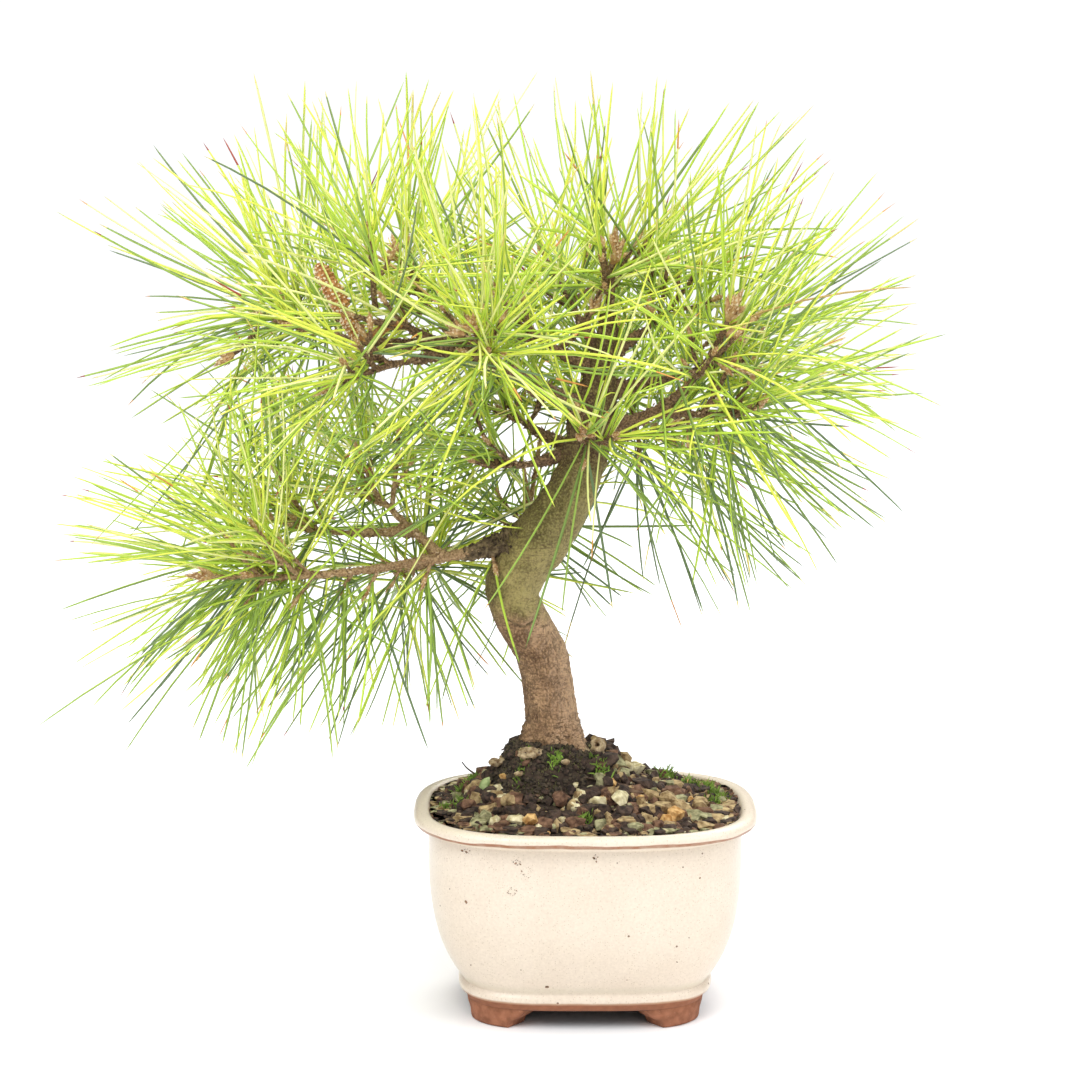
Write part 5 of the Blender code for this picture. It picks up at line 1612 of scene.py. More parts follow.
def flare_root(index, level):
    """Places and radii of one flared root."""
    turn = 2 * math.pi * (index + 0.35) / FLARE_ROOTS
    out = np.array((math.cos(turn), math.sin(turn), 0))
    reach = FLARE_REACH * (1.0 if index % 2 else 0.86)
    rows = [
        (*(level + out * reach * far + np.array((0, 0, FLARE_HEIGHT * high))), FLARE_RADIUS * size)
        for far, high, size in FLARE_SHAPE
    ]
    return smooth_stations(rows, 34)


def make_trunk(bark, finish):
    """The trunk with its bark in relief, its flared roots and the stubs of lost boughs."""
    stations = np.concatenate([[TRUNK_FOOT], trunk_stations(CLEARANCE)])
    rows = smooth_stations(stations * MM, 430)
    shape = Shape()
    marks = {}
    shape.add(*bar(rows[:, :3], rows[:, 3], 150, trunk_relief(bark.relief, marks)))
    fold = (marks["fold"][:-1] + marks["fold"][1:]) / 2
    # Faces just under the fold's edge take the dark fold finish: painted shade under the fold.
    shape.kinds[0] = np.where((fold > -0.9 * MM) & (fold < 0), 2, 0).ravel()
    for index, (base, way, radius) in enumerate(TRUNK_STUBS):
        steps = np.linspace(-5, 5.5, 14)[:, None] * MM
        path = np.array(base) * MM + unit(np.array(way)) * steps
        radii = np.linspace(1.25, 0.75, 14) * radius * MM
        shape.add(*bar(path, radii, 14, scaly_relief(0.2, 1.8 * MM, 51 + index)), 1)
    low_left = LIMBS[0]
    root = limb_roots()[low_left.name]
    for index, (first, last, radius) in enumerate(BURLS):
        path, _ = dense_limb(low_left, root, first, last)
        path = path + rough(path, 9 * MM, 2, 55 + index)[:, None] * (0, 0, 1.5 * MM)
        swell = 1 - 0.55 * np.abs(np.linspace(-1, 1, len(path))) ** 2.5
        shape.add(*bar(path, radius * swell * MM, 36, scaly_relief(0.36, 3.6 * MM, 56 + index)), 1)
    level = np.array(trunk_path()[0])
    for index in range(FLARE_ROOTS):
        rows = flare_root(index, level)
        shape.add(*bar(rows[:, :3], rows[:, 3], 36, scaly_relief(0.14, 5 * MM, 41 + index)))
    thing = shape.build("trunk_bark", [finish, surface("rough_bark"), surface("fold_crease")])
    return stand_for(thing, "bark", "trunk")


def scaly_relief(depth, pitch, seed):
    """The relief of a bough: leaf cushions set in crossing spirals, on a lumpy bar."""

    def relief(path, around, reach, turns):
        walked = walk(path)[:, None]
        count = np.maximum(2, np.round(2 * math.pi * reach.mean() / pitch))
        wave = walked / pitch * 2 * math.pi
        cushions = np.cos(count * turns + wave) * np.cos(count * turns - wave)
        points = (path[:, None, :] + around * reach[:, :, None]).reshape(-1, 3)
        lumps = rough(points, 4.2 * MM, 3, seed).reshape(reach.shape)
        return reach * (depth * cushions + depth * 1.25 * lumps)

    return relief


def dense_limb(limb, root, low, high, step=0.9 * MM):
    """Close points and radii of a stretch of a limb."""
    count = max(6, math.ceil((limb_point(limb, root, high) - limb_point(limb, root, low)).length / step))
    shares = np.linspace(low, high, count)
    path = np.array([limb_point(limb, root, float(t)) for t in shares])
    return path, np.array([limb_radius(limb, max(0.0, float(t))) for t in shares])


def twig_finishes(bark):
    """Scaly bark of the boughs and twigs: dark brown inside the crown as painted shade, and tan on the low
    boughs.
    """
    speck = (bark.dark, 420.0, 0.3, 0.6)
    return [
        bpy.data.materials.get(name) or mottled_finish(name, *pair, 900.0, 0.85, (900.0, 0.8, 0.6), speck)
        for name, pair in TWIG_TONES.items()
    ]


def make_boughs(finishes, roots):
    """Every bare bough, with a collar where it leaves the trunk or its parent."""
    for number, limb in enumerate(LIMBS):
        path, radii = dense_limb(limb, roots[limb.name], 0.0, limb.bare + 0.02)
        reach = 11 * MM if limb.parent == "trunk" else 4 * MM
        slim, flare = BOUGH_SHAPES.get(limb.name, (0.82, 0.45))
        collar = slim + flare * np.exp(-np.maximum(0, walk(path) - reach) / (6 * MM))
        shape = Shape()
        shape.add(*bar(path, radii * collar, 24, scaly_relief(0.26, 2.9 * MM, 60 + number)))
        # Boughs that are not low on the left take the crown's dark bark, painted shade.
        thing = shape.build(f"bough_{limb.name}_bark", [finishes[limb.name.startswith("low")]])
        stand_for(thing, "bark", f"bough_{limb.name}")


# Needles, twigs and buds


def across_of(direction):
    """Two directions square to the one given."""
    other = Vector((0, 0, 1)) if abs(direction.z) < 0.9 else Vector((1, 0, 0))
    side = direction.cross(other).normalized()
    return side, direction.cross(side).normalized()


def lean(direction, opening, turn):
    """The direction opened by an angle away from the one given, at a turn round it."""
    side, up = across_of(direction)
    return direction * math.cos(opening) + (side * math.cos(turn) + up * math.sin(turn)) * math.sin(opening)


def bent_up(start, way, length, rise, steps):
    """A short path that bends up to the light."""
    return [start + way * length * t + Vector((0, 0, length * rise * t * t)) for t in steps]


def twig_paths(limb, stem, rng):
    """Side twigs that leave the stem in turn round it and bend up to the light, as in the solid."""
    twigs = []
    turn = rng.uniform(0, 2 * math.pi)
    for i in range(limb.twigs):
        share = 0.18 + 0.5 * i / max(1, limb.twigs)
        start = along(stem, share)
        ahead = (along(stem, share + 0.1) - start).normalized()
        out = lean(ahead, TWIG_OPENING, turn)
        out.z = max(out.z, -0.1)
        length = TWIG_LENGTH * rng.uniform(0.8, 1.1)
        twigs.append(bent_up(start, out, length, 0.28, (0, 0.5, 1)))
        turn += GOLDEN_ANGLE
    return twigs


def finer_twigs(parent, count, length, rng):
    """Small shoots that leave a stem or twig by the same rule."""
    shoots = []
    turn = rng.uniform(0, 2 * math.pi)
    for i in range(count):
        share = 0.3 + 0.5 * i / max(1, count)
        start = along(parent, share)
        ahead = (along(parent, min(1, share + 0.1)) - along(parent, share - 0.1)).normalized()
        out = lean(ahead, TWIG_OPENING * rng.uniform(0.7, 1.05), turn)
        out.z = max(out.z, -0.15)
        size = length * rng.uniform(0.7, 1.2)
        shoots.append(bent_up(start, out, size, 0.3, (0, 0.33, 0.67, 1)))
        turn += GOLDEN_ANGLE
    return shoots


class Shoot(NamedTuple):
    """A twig that carries needles: its points, both thicknesses, where its needles begin, and its bud."""

    path: list
    thick: float
    thin: float
    first: float
    sparse: float
    bud: tuple = ()


def mass_shoots(limb, root, rng):
    """The stem of one mass and the side twigs that its solid has."""
    stem = stem_path(limb, root)
    twigs = twig_paths(limb, stem, rng)
    return stem, twigs


def all_shoots(limb, root, stem, twigs, rng):
    """The stem, twigs and finer twigs of a mass, ready to carry needles."""
    if limb.name == APEX.name:
        fine_stem, first = [trunk_path()[-1], *stem], 0.1
        radius = (4.0 * MM, limb_radius(limb, 1))
    else:
        fine_stem = [limb_point(limb, root, float(t)) for t in np.linspace(limb.bare, 1, 10)]
        first = 0.0
        radius = (limb_radius(limb, limb.bare), limb_radius(limb, 1) * 0.8)
    sparse = SPARSENESS.get(limb.name, 1.0)
    if limb.name == CONE_LIMB:
        fine_stem = cut_back(fine_stem, CONE_TWIG)
    shoots = [Shoot(fine_stem, *radius, first, sparse, LARGE_BUDS.get(limb.name, ()))]
    shoots += [Shoot(twig, TWIG_RADIUS, TWIG_RADIUS * 0.7, 0.1, sparse) for twig in twigs]
    for path in finer_twigs(fine_stem, 3, 20 * MM, rng):
        shoots.append(Shoot(path, TWIG_RADIUS * 0.75, TWIG_RADIUS * 0.6, 0.12, sparse))
    for twig in twigs:
        for path in finer_twigs(twig, 1, 15 * MM, rng):
            shoots.append(Shoot(path, TWIG_RADIUS * 0.7, TWIG_RADIUS * 0.55, 0.12, sparse))
    for name, share, way in HANGING_SHOOTS:
        if name == limb.name:
            start = limb_point(limb, root, share)
            path = [start + Vector(way) * MM * t for t in (0, 0.33, 0.67, 1)]
            shoots.append(Shoot(path, TWIG_RADIUS * 0.75, TWIG_RADIUS * 0.6, 0.3, 0.45))
    for name, base, *bud in NAMED_BUDS:
        if name == limb.name:
            path = led_path([fine_stem, *twigs], Vector(base) * MM)
            shoots.append(Shoot(path, TWIG_RADIUS * 0.75, TWIG_RADIUS * 0.65, 0.3, sparse * 1.3, tuple(bud)))
    return shoots


def cut_back(path, length):
    """A path without its last stretch."""
    whole = sum((b - a).length for a, b in zip(path, path[1:]))
    return [along(path, (1 - length / whole) * t) for t in np.linspace(0, 1, len(path))]


def led_path(paths, end):
    """A short twig that leaves the nearest of some paths and rises to an end."""
    starts = [along(path, t) for path in paths for t in np.linspace(0.05, 0.95, 19)]
    start = min(starts, key=lambda point: (point - end).length)
    sag = (end - start).length * 0.12
    return [start.lerp(end, t) - Vector((0, 0, sag * 4 * t * (1 - t))) for t in np.linspace(0, 1, 6)]


class Needles(NamedTuple):
    """Needles as arrays: root, direction, bend, length, and a share of the way up their shoot."""

    root: np.ndarray
    way: np.ndarray
    bend: np.ndarray
    length: np.ndarray
    share: np.ndarray
    shoot: np.ndarray


def shoot_needles(shoot, index, settings, rng):
    """Pairs of needles set round a shoot at the golden angle, spread at its foot and gathered at its tip."""
    path = np.array(shoot.path)
    length = np.linalg.norm(np.diff(path, axis=0), axis=1).sum()
    count = max(4, round(length * (1 - shoot.first) / (settings.spacing * shoot.sparse)))
    shares = (np.arange(count) + rng.uniform(0, 1, count)) / count
    shares = shoot.first + (1 - shoot.first) * shares**0.8
    walked = walk(path) / length
    root = points_at(shares, walked, path)
    ahead, behind = np.minimum(1, shares + 0.06), np.maximum(0, shares - 0.06)
    axis = unit(points_at(ahead, walked, path) - points_at(behind, walked, path))
    level = np.where(np.abs(axis[:, 2:]) < 0.9, (0.0, 0.0, 1.0), (1.0, 0.0, 0.0))
    side = unit(np.cross(axis, level))
    other = np.cross(axis, side)
    turns = rng.uniform(0, 2 * math.pi) + GOLDEN_ANGLE * np.arange(count) + rng.normal(0, 0.16, count)
    opening = BASE_OPENING + (TIP_OPENING - BASE_OPENING) * shares**1.3 + rng.normal(0, 0.13, count)
    opening = np.where(shares > 0.96, np.abs(rng.normal(0.42, 0.16, count)), opening)
    way = ring_ways(opening, axis, ring_ways(turns, side, other))
    pair_way = np.repeat(way, 2, axis=0)
    split = unit(np.cross(pair_way, rng.normal(size=(count, 3)).repeat(2, axis=0)))
    half = rng.uniform(0.025, 0.11, count).repeat(2) * np.tile((1, -1), count)
    pair_way = unit(pair_way + split * half[:, None] + rng.normal(0, 0.02, size=(count * 2, 3)))
    level_part = np.hypot(pair_way[:, 0], pair_way[:, 1])
    pair_way[:, 2] -= DROOP * level_part * rng.uniform(0.1, 1.0, count * 2)
    pair_way = unit(pair_way)
    sag = (-0.04 + 0.46 * rng.uniform(0, 1, count) ** 1.7).repeat(2) * level_part
    bend = np.stack([np.zeros(count * 2), np.zeros(count * 2), -sag], axis=1)
    forward = rng.uniform(0.05, 0.42, count).repeat(2) * np.sin(opening.repeat(2))
    bend += axis.repeat(2, axis=0) * forward[:, None]
    bend += rng.normal(0, 0.07, size=(count, 3)).repeat(2, axis=0) + rng.normal(0, 0.03, size=(count * 2, 3))
    spread = rng.uniform(0.76, 1.14, count).repeat(2) * rng.uniform(0.93, 1.04, count * 2)
    spread *= rng.uniform(0.8, 1.08)
    sizes = settings.length * spread * (0.9 + 0.1 * np.sin(shares.repeat(2) * math.pi))
    return Needles(
        root.repeat(2, axis=0), pair_way, bend, sizes, shares.repeat(2), np.full(count * 2, index)
    )


def joined(rows):
    """Several sets of needles as one."""
    return Needles(*[np.concatenate(parts) for parts in zip(*rows)])


def picked(needles, mask):
    """The needles that a mask keeps."""
    return Needles(*[part[mask] for part in needles])


def needle_point(needles, t):
    """The points of all needles at a share of their length."""
    size = needles.length[:, None]
    return needles.root + needles.way * size * t + needles.bend * size * t * t


def wood_samples(roots):
    """Points on the axes of the trunk and boughs, with their radii."""
    trunk = smooth_stations(trunk_stations(CLEARANCE) * MM, 80)
    stretches = [(trunk[:, :3], trunk[:, 3])]
    stretches += [dense_limb(limb, roots[limb.name], 0, limb.bare, 3 * MM) for limb in LIMBS]
    return [np.concatenate(parts) for parts in zip(*stretches)]


def clearings(roots, stage, shoot_sets):
    """Sight lines from the camera to what shows: their ends, widths, and the share of needles kept."""
    eye = np.array((stage.camera_across, -stage.camera_distance, stage.camera_height))
    rows = smooth_stations(trunk_stations(0) * MM, 40)
    rows = rows[(rows[:, 2] > TRUNK_SHOWN[0]) & (rows[:, 2] < TRUNK_SHOWN[1])]
    shown = [(rows[:, :3], rows[:, 3] * 0.95, 0.34)]
    for limb in LIMBS:
        if limb.name in SHOWN_LIMBS:
            high, share = SHOWN_LIMBS[limb.name]
            path, radii = dense_limb(limb, roots[limb.name], 0.1, high, 5 * MM)
            shown.append((path, radii + 1.5 * MM, share))
    shown.append((cone_path(roots)[0][::12], 6.5 * MM, 0.06))
    shown += [(np.array([place]) * MM, width * MM, 0.3) for place, width in SKY_GAPS]
    for shoot in (shoot for shoots in shoot_sets.values() for shoot in shoots if shoot.bud):
        path = np.array(shoot.path)
        way = unit(path[-1] - path[-2]) * shoot.bud[0]
        bud = np.array([path[-1] + way * step * MM for step in (0.1, 0.5, 0.9)])
        shown.append((bud, (shoot.bud[1] + 1.5) * MM, 0.2))
    ends = np.concatenate([row[0] for row in shown])
    widths, kept = (np.concatenate([np.full(len(row[0]), row[k]) for row in shown]) for k in (1, 2))
    return eye, ends, widths, kept


def in_front(points, sight):
    """For each point, whether it hides the end of each sight line."""
    eye, ends, widths, _ = sight
    ways = ends - eye
    far = np.linalg.norm(ways, axis=1)
    ways = ways / far[:, None]
    steps = (points - eye) @ ways.T
    gaps = np.linalg.norm((points - eye)[:, None, :] - steps[..., None] * ways[None], axis=2)
    return (gaps < widths) & (steps < far)


def thinned(needles, sight, rng):
    """Drops most pairs of needles that hide the bare wood and the cones from the front."""
    count = len(needles.root)
    hidden = np.zeros((count, len(sight[1])), bool)
    for t in np.linspace(0.03, 1, 26):
        hidden |= in_front(needle_point(needles, t), sight)
    share = np.where(hidden, sight[3][None], 1.0).min(axis=1)
    return picked(needles, rng.uniform(size=count) < share)


def hung(needles, weight):
    """Needles of which the low ones hang more steeply and are shorter."""
    low = weight * np.clip(0.2 - needles.way[:, 2], 0, 0.6)
    way = unit(needles.way - low[:, None] * np.array((0.0, 0.0, 1.0)))
    return needles._replace(way=way, length=needles.length * (1 - 0.55 * low))


def within_reach(needles, low, high, wood, wood_sizes, rng):
    """Shortens needles to the crown's box and drops those that cut through wood or hang too low."""
    tips = needle_point(needles, 1.0)
    fit = np.ones(len(tips))
    for axis in range(3):
        root, tip = needles.root[:, axis], tips[:, axis]
        step = np.where(np.abs(tip - root) < 1e-6, 1e-6, tip - root)
        room = np.where(tip > root, high[axis] - root, low[axis] - root) / step
        fit = np.minimum(fit, np.where(room > 0, room, 1))
    keep = fit > 0.55
    needles, fit = picked(needles, keep), fit[keep]
    trim = np.where(fit < 1, fit * rng.uniform(0.74, 1.0, len(fit)), 1)
    needles = needles._replace(length=needles.length * trim)
    clear = np.ones(len(needles.root), bool)
    for t in np.linspace(0.12, 1, 12):
        points = needle_point(needles, t)
        gaps = np.linalg.norm(points[:, None, :] - wood[None], axis=2) - wood_sizes[None]
        clear &= gaps.min(axis=1) > WOOD_ROOM
        clear &= points[:, 2] > LOWEST_NEEDLE
    return picked(needles, clear)


def needle_mesh(needles, width, rng):
    """Points and faces of all needles: slim three-sided spikes with a flat inner face."""
    count = len(needles.root)
    across = unit(np.cross(needles.way, rng.normal(size=(count, 3))))
    other = np.cross(needles.way, across)
    widths = width * rng.uniform(0.64, 1.1, count)
    rings = []
    for t, size in NEEDLE_STATIONS:
        middle = needle_point(needles, t)
        for turn in (0, 2 * math.pi / 3, 4 * math.pi / 3):
            out = across * math.cos(turn) + other * math.sin(turn)
            rings.append(middle + out * (widths * size * 0.56)[:, None])
    rings.append(needle_point(needles, 1.0))
    corners = len(rings)
    tips = [*cap_faces(3, corners - 4, corners - 1, False), (2, 1, 0)]
    quads = repeated(grid_faces(len(NEEDLE_STATIONS), 3), count, corners)
    return np.stack(rings, axis=1).reshape(-1, 3), quads, repeated(tips, count, corners)


def needle_finishes(settings):
    """The finishes of the needles, from pale to blue green, and of dry tips."""
    finishes = [needle_finish(f"needle_{tone}", tuple(getattr(settings, tone))) for tone in NEEDLE_TONES]
    finishes += [needle_finish(f"needle_{name}", colour, 0.55) for name, colour in TIP_TONES.items()]
    return finishes


def needle_colours(needles, tone, rng):
    """The tone of each needle and of its tip, from the light that reaches it."""
    count = len(needles.root)
    tips = needle_point(needles, 1.0)
    height = (tips[:, 2] - 300 * MM) / (130 * MM)
    out = np.hypot(tips[:, 0] + 25 * MM, tips[:, 1]) / (190 * MM)
    light = 0.42 + 0.2 * height + 0.16 * needles.way[:, 2] + 0.1 * out - 0.7 * tips[:, 1]
    light += tone[needles.shoot]
    light += rng.normal(0, 0.3, count)
    kinds = np.select([light > 0.66, light > 0.36, light > 0.1, light > -0.16], [1, 2, 3, 4], 5)
    pick = rng.uniform(size=count)
    dry = rng.uniform(size=count) < 0.004
    kinds = np.where(dry, 9, kinds)
    tip_kinds = np.select([pick < 0.3, pick < 0.38, pick < 0.43, dry], [6, 7, 8, 9], kinds)
    return kinds, tip_kinds


def make_needles(limb, shoots, settings, finishes, limits, wood, wood_sizes, sight):
    """The needles of one mass."""
    index = [other.name for other in MASSES].index(limb.name)
    rng = np.random.default_rng(SEED * 31 + index)
    needles = joined([shoot_needles(shoot, i, settings, rng) for i, shoot in enumerate(shoots)])
    needles = hung(needles, MASS_HANG.get(limb.name, 0))
    needles = within_reach(needles, *limits, wood, wood_sizes, rng)
    needles = thinned(needles, sight, rng)
    tone = rng.normal(MASS_TONES.get(limb.name, 0), 0.07, len(shoots))
    kinds, tip_kinds = needle_colours(needles, tone, rng)
    points, quads, tips = needle_mesh(needles, settings.width, rng)
    # Each needle's second face is painted a tone darker, painted shade, and its third a tone lighter, partly
    # its paler inner face and partly a painted highlight.
    sides = kinds[:, None] + np.array((0, 1, -1))
    sides = np.where(kinds[:, None] < 6, np.clip(sides, 0, 5), kinds[:, None])
    quad_kinds = np.tile(sides, (1, len(quads) // len(kinds) // 3))
    long_tip = rng.uniform(size=len(kinds)) < 0.22
    quad_kinds[:, -3:] = np.where(long_tip[:, None], tip_kinds[:, None], quad_kinds[:, -3:])
    tip_faces = np.repeat(tip_kinds[:, None], 4, axis=1)
    tip_faces[:, 3] = kinds
    name = f"needles_{limb.name}"
    all_kinds = np.concatenate([quad_kinds.ravel(), tip_faces.ravel()])
    thing = build_piece(name, points, [quads, tips], finishes, all_kinds)
    return stand_for(thing, "needles", f"foliage_{limb.name}")


def make_twigs(limb, shoots, finish):
    """The scaly twigs inside one mass."""
    shape = Shape()
    for number, shoot in enumerate(shoots):
        path, places = even_path(np.array(shoot.path), 1.1 * MM)
        radii = TWIG_SLIMNESS * (shoot.thick + (shoot.thin - shoot.thick) * (places / places[-1]) ** 0.8)
        shape.add(*bar(path, radii, 12, scaly_relief(0.16, 2.4 * MM, 90 + number)))
    thing = shape.build(f"twigs_{limb.name}", [finish])
    return stand_for(thing, "bark", f"foliage_{limb.name}")


def bud_shape(base, axis, length, radius, scales, shape):
    """Adds a bud: a slim core covered with pointed scales set at the golden angle."""
    axis = unit(np.array(axis))
    side = unit(np.cross(axis, (0.3, 0.2, 0.9)))
    other = np.cross(axis, side)
    profile = np.array(BUD_PROFILE)
    path = base + axis * (profile[:, 0] * length)[:, None]
    shape.add(*bar(path, profile[:, 1] * radius, 8))
    for i in range(scales):
        share = (i + 0.5) / scales
        turn = i * GOLDEN_ANGLE
        out = side * math.cos(turn) + other * math.sin(turn)
        size = np.interp(share, profile[:, 0], profile[:, 1]) * radius
        foot = base + axis * length * share * 0.92 + out * size * 0.7
        reach = min(length * (0.16 + 0.5 / math.sqrt(scales)), 4.2 * MM)
        tip = foot + axis * reach + out * min(size * (0.75 - 0.45 * share), reach * 0.8)
        across = np.cross(out, axis) * (min(size, reach) * 0.42 + 0.15 * MM)
        middle = foot * 0.45 + tip * 0.55 + out * size * 0.24
        low, high = foot - out * size * 0.2, middle + out * size * 0.12
        points = np.stack([low, middle + across, middle - across, high, tip])
        shape.add(points, [SCALE_FACES], (0, 0, 0, 1, 1, 1))


def make_scales(shoot_sets, roots):
    """Papery brown scales on the boughs' outer parts and the shoots."""
    rng = np.random.default_rng(SEED + 6)
    shape = Shape()
    paths = []
    for limb in MASSES:
        if limb.name != APEX.name:
            low = 0.45 * limb.bare if limb.thick > 4 else 0.3 * limb.bare
            paths.append(dense_limb(limb, roots[limb.name], low, limb.bare, 1.5 * MM))
        for shoot in shoot_sets[limb.name]:
            path, places = even_path(np.array(shoot.path), 1.5 * MM)
            paths.append((path, np.linspace(shoot.thick, shoot.thin, len(path)) * TWIG_SLIMNESS))
    for path, radii in paths:
        add_scales(path, radii, shape, rng)
    thing = shape.build("bark_scales", [surface("scale_brown"), surface("scale_pale")], False)
    return stand_for(thing, "bark")


def add_scales(path, radii, shape, rng):
    """Small pointed scales set at the golden angle along one bough or shoot."""
    ahead, side, other = frames_along(path)
    count = int(np.linalg.norm(np.diff(path, axis=0), axis=1).sum() / (1.1 * MM))
    spots = np.clip(np.sort(rng.uniform(0, len(path) - 1, count)).astype(int), 0, len(path) - 1)
    turns = np.arange(count) * GOLDEN_ANGLE + rng.normal(0, 0.2, count)
    out = ring_ways(turns, side[spots], other[spots])
    across = np.cross(ahead[spots], out)
    size = rng.uniform(1.3, 2.8, count)[:, None] * MM
    foot = path[spots] + out * (radii[spots] * 0.85)[:, None]
    lift = rng.uniform(0.2, 0.75, count)[:, None]
    tip = foot + ahead[spots] * size + out * size * lift
    middle = foot + ahead[spots] * size * 0.45 + out * size * lift * 0.3
    wide, high = across * (size * 0.3), out * size * 0.22
    points = np.stack([foot - out * size * 0.15, middle + wide, middle - wide, middle + high, tip], axis=1)
    kinds = np.repeat((rng.uniform(size=count) < 0.35).astype(int), len(SCALE_FACES))
    shape.add(points.reshape(-1, 3), [repeated(SCALE_FACES, count, 5)], kinds)


def make_buds(shoot_sets):
    """Winter buds on the tips of the shoots, with smaller ones round the leading bud of each mass."""
    rng = np.random.default_rng(SEED + 5)
    shape = Shape()
    for name, shoots in shoot_sets.items():
        for number, shoot in enumerate(shoots):
            path = np.array(shoot.path)
            axis = unit(path[-1] - path[-2])
            length = rng.uniform(7, 11) * MM * (1.15 if number == 0 else 0.85)
            radius = rng.uniform(1.2, 1.7) * MM
            if shoot.bud:
                length, radius = (size * MM for size in shoot.bud)
            if number == 0 and name == CONE_LIMB:
                continue
            bud_shape(path[-1] - axis * MM, axis, length, radius, round(length / MM * 2.4), shape)
            if number == 0 or shoot.bud:
                for turn in (0.4, 2.6, 4.6):
                    way = unit(np.array(lean(Vector(axis), 0.55, turn)))
                    bud_shape(path[-1] - axis * 0.5 * MM, way, length * 0.7, radius * 0.75, 12, shape)
    thing = shape.build("winter_buds", [surface("bud_scale"), surface("bud_tip")], True, 40)
    return stand_for(thing, "bark")


def cone_surface(path, radius, seed):
    """Points, faces and tones of a cone set with small pale-tipped scales in crossing spirals."""
    sides = 60
    walked = walk(path)
    share = walked / walked[-1]
    radii = radius * (np.clip(share * 9, 0, 1) * np.clip((1 - share) * 6, 0, 1)) ** 0.4 * (1 - 0.16 * share)
    count = round(math.pi * radius / CONE_PITCH)
    turns = circle(sides)
    grid = np.stack(np.broadcast_arrays(np.cos(turns) * 4, np.sin(turns) * 4, walked[:, None] / MM), axis=-1)
    sway = rough(grid.reshape(-1, 3), 2.0, 2, seed).reshape(len(path), sides)
    wave = walked[:, None] * math.pi / CONE_PITCH + sway * 1.8
    scales = np.clip(np.cos(count * turns + wave) * np.cos(count * turns - wave), -0.35, 1)

    def relief(path, around, reach, turns):
        return scales * 1.15 * MM + sway * 0.8 * MM

    points, faces = bar(path, np.maximum(radii, 0.6 * MM), sides, relief)
    tall = (scales[:-1] + scales[1:]) / 2 + 0.25 * sway[:-1]
    tones = np.where(tall > 0.5, 1, 0).ravel()
    return points, faces, tones


def cone_path(roots):
    """Close points along the cone's twig, and how far along it each lies."""
    limb = next(other for other in LIMBS if other.name == CONE_LIMB)
    stem = [limb_point(limb, roots[CONE_LIMB], float(t)) for t in np.linspace(limb.bare, 1, 10)]
    start = cut_back(stem, CONE_TWIG)[-2:]
    rows = np.array([*start, *(Vector(place) * MM for place in CONE_TRACK)])
    return even_path(smooth_stations(rows, 200), 0.3 * MM)


def make_cones(roots):
    """The orange-brown spent cone at the end of the upper-left twig."""
    path, walked = cone_path(roots)
    shape = Shape()
    shape.add(*bar(path, np.linspace(2.4, 1.4, len(path)) * MM, 14, scaly_relief(0.16, 2.4 * MM, 70)))
    for number, (first, last, radius) in enumerate(CONE_SPANS):
        kept = (walked >= walked[-1] - first * MM) & (walked <= walked[-1] - last * MM)
        points, faces, tones = cone_surface(path[kept], radius * MM, 71 + number)
        shape.add(points, faces[:1], tones)
        shape.faces += [block + shape.count - len(points) for block in faces[1:]]
        shape.kinds += [np.zeros(len(block), int) for block in faces[1:]]
    thing = shape.build("spent_cone", [surface("cone_scale"), surface("cone_tip")])
    return stand_for(thing, "bark")


# Stage


def placed(name, data, place):
    """A camera or lamp set in the scene."""
    thing = bpy.data.objects.new(name, data)
    bpy.context.scene.collection.objects.link(thing)
    thing.location = place
    return thing


def make_camera(stage):
    """The camera at the photograph's viewing angle."""
    data = bpy.data.cameras.new("camera")
    data.lens = stage.lens
    data.sensor_width = 36
    data.clip_start = 0.01
    data.clip_end = 50
    place = (CENTRE[0] + stage.camera_across, CENTRE[1] - stage.camera_distance, stage.camera_height)
    camera = placed("camera", data, place)
    camera.rotation_euler = (math.pi / 2 - stage.tilt, 0, 0)
    bpy.context.scene.camera = camera


def make_lamp(name, kind, place, target, settings):
    """A lamp that faces a point."""
    data = bpy.data.lights.new(name, kind)
    for label, value in settings.items():
        setattr(data, label, value)
    lamp = placed(name, data, place)
    lamp.rotation_euler = (Vector(target) - Vector(place)).to_track_quat("-Z", "Y").to_euler()


def make_floor(stage):
    """A wide pale floor."""
    sides = 96
    turns = circle(sides)
    ring = np.stack([np.cos(turns), np.sin(turns), np.zeros(sides)], axis=-1)
    points = np.concatenate([ring * 30 - CENTRE, [-CENTRE]])
    finish = Finish("studio_floor", stage.floor, 0.9)
    finish.colour(finish.mottle(1.2, shade(stage.floor, 0.985), stage.floor, softness=0.4)["Color"])
    finish.shader.inputs["Specular IOR Level"].default_value = 0.1
    floor = build_piece("studio_floor", points, [cap_faces(sides, 0, sides, False)], [finish.material])


def make_world():
    """A bright even sky over the studio, dim at the horizon, and a plain white background for the camera."""
    world = bpy.data.worlds.new("studio")
    bpy.context.scene.world = world
    world.use_nodes = True
    sky = Nodes(world.node_tree)
    way = sky.add("SeparateXYZ", {0: sky.add("TexCoord").outputs["Generated"]}).outputs
    curve = sky.math("POWER", sky.math("MAXIMUM", way["Z"], 0.0), 2.3)
    strength = sky.spread(curve, first=0.03, last=2.1)
    sockets = {"Color": (0.97, 0.985, 1.0, 1), "Strength": strength}
    soft = sky.fill(world.node_tree.nodes["Background"], sockets)
    seen = sky.add("Background", {"Color": (1, 1, 1, 1), "Strength": 1.05})
    path = sky.add("LightPath").outputs["Is Camera Ray"]
    mixed = sky.add("MixShader", {0: path, 1: soft.outputs[0], 2: seen.outputs[0]})
    sky.fill(world.node_tree.nodes["World Output"], {"Surface": mixed.outputs[0]})


# Operators and panel


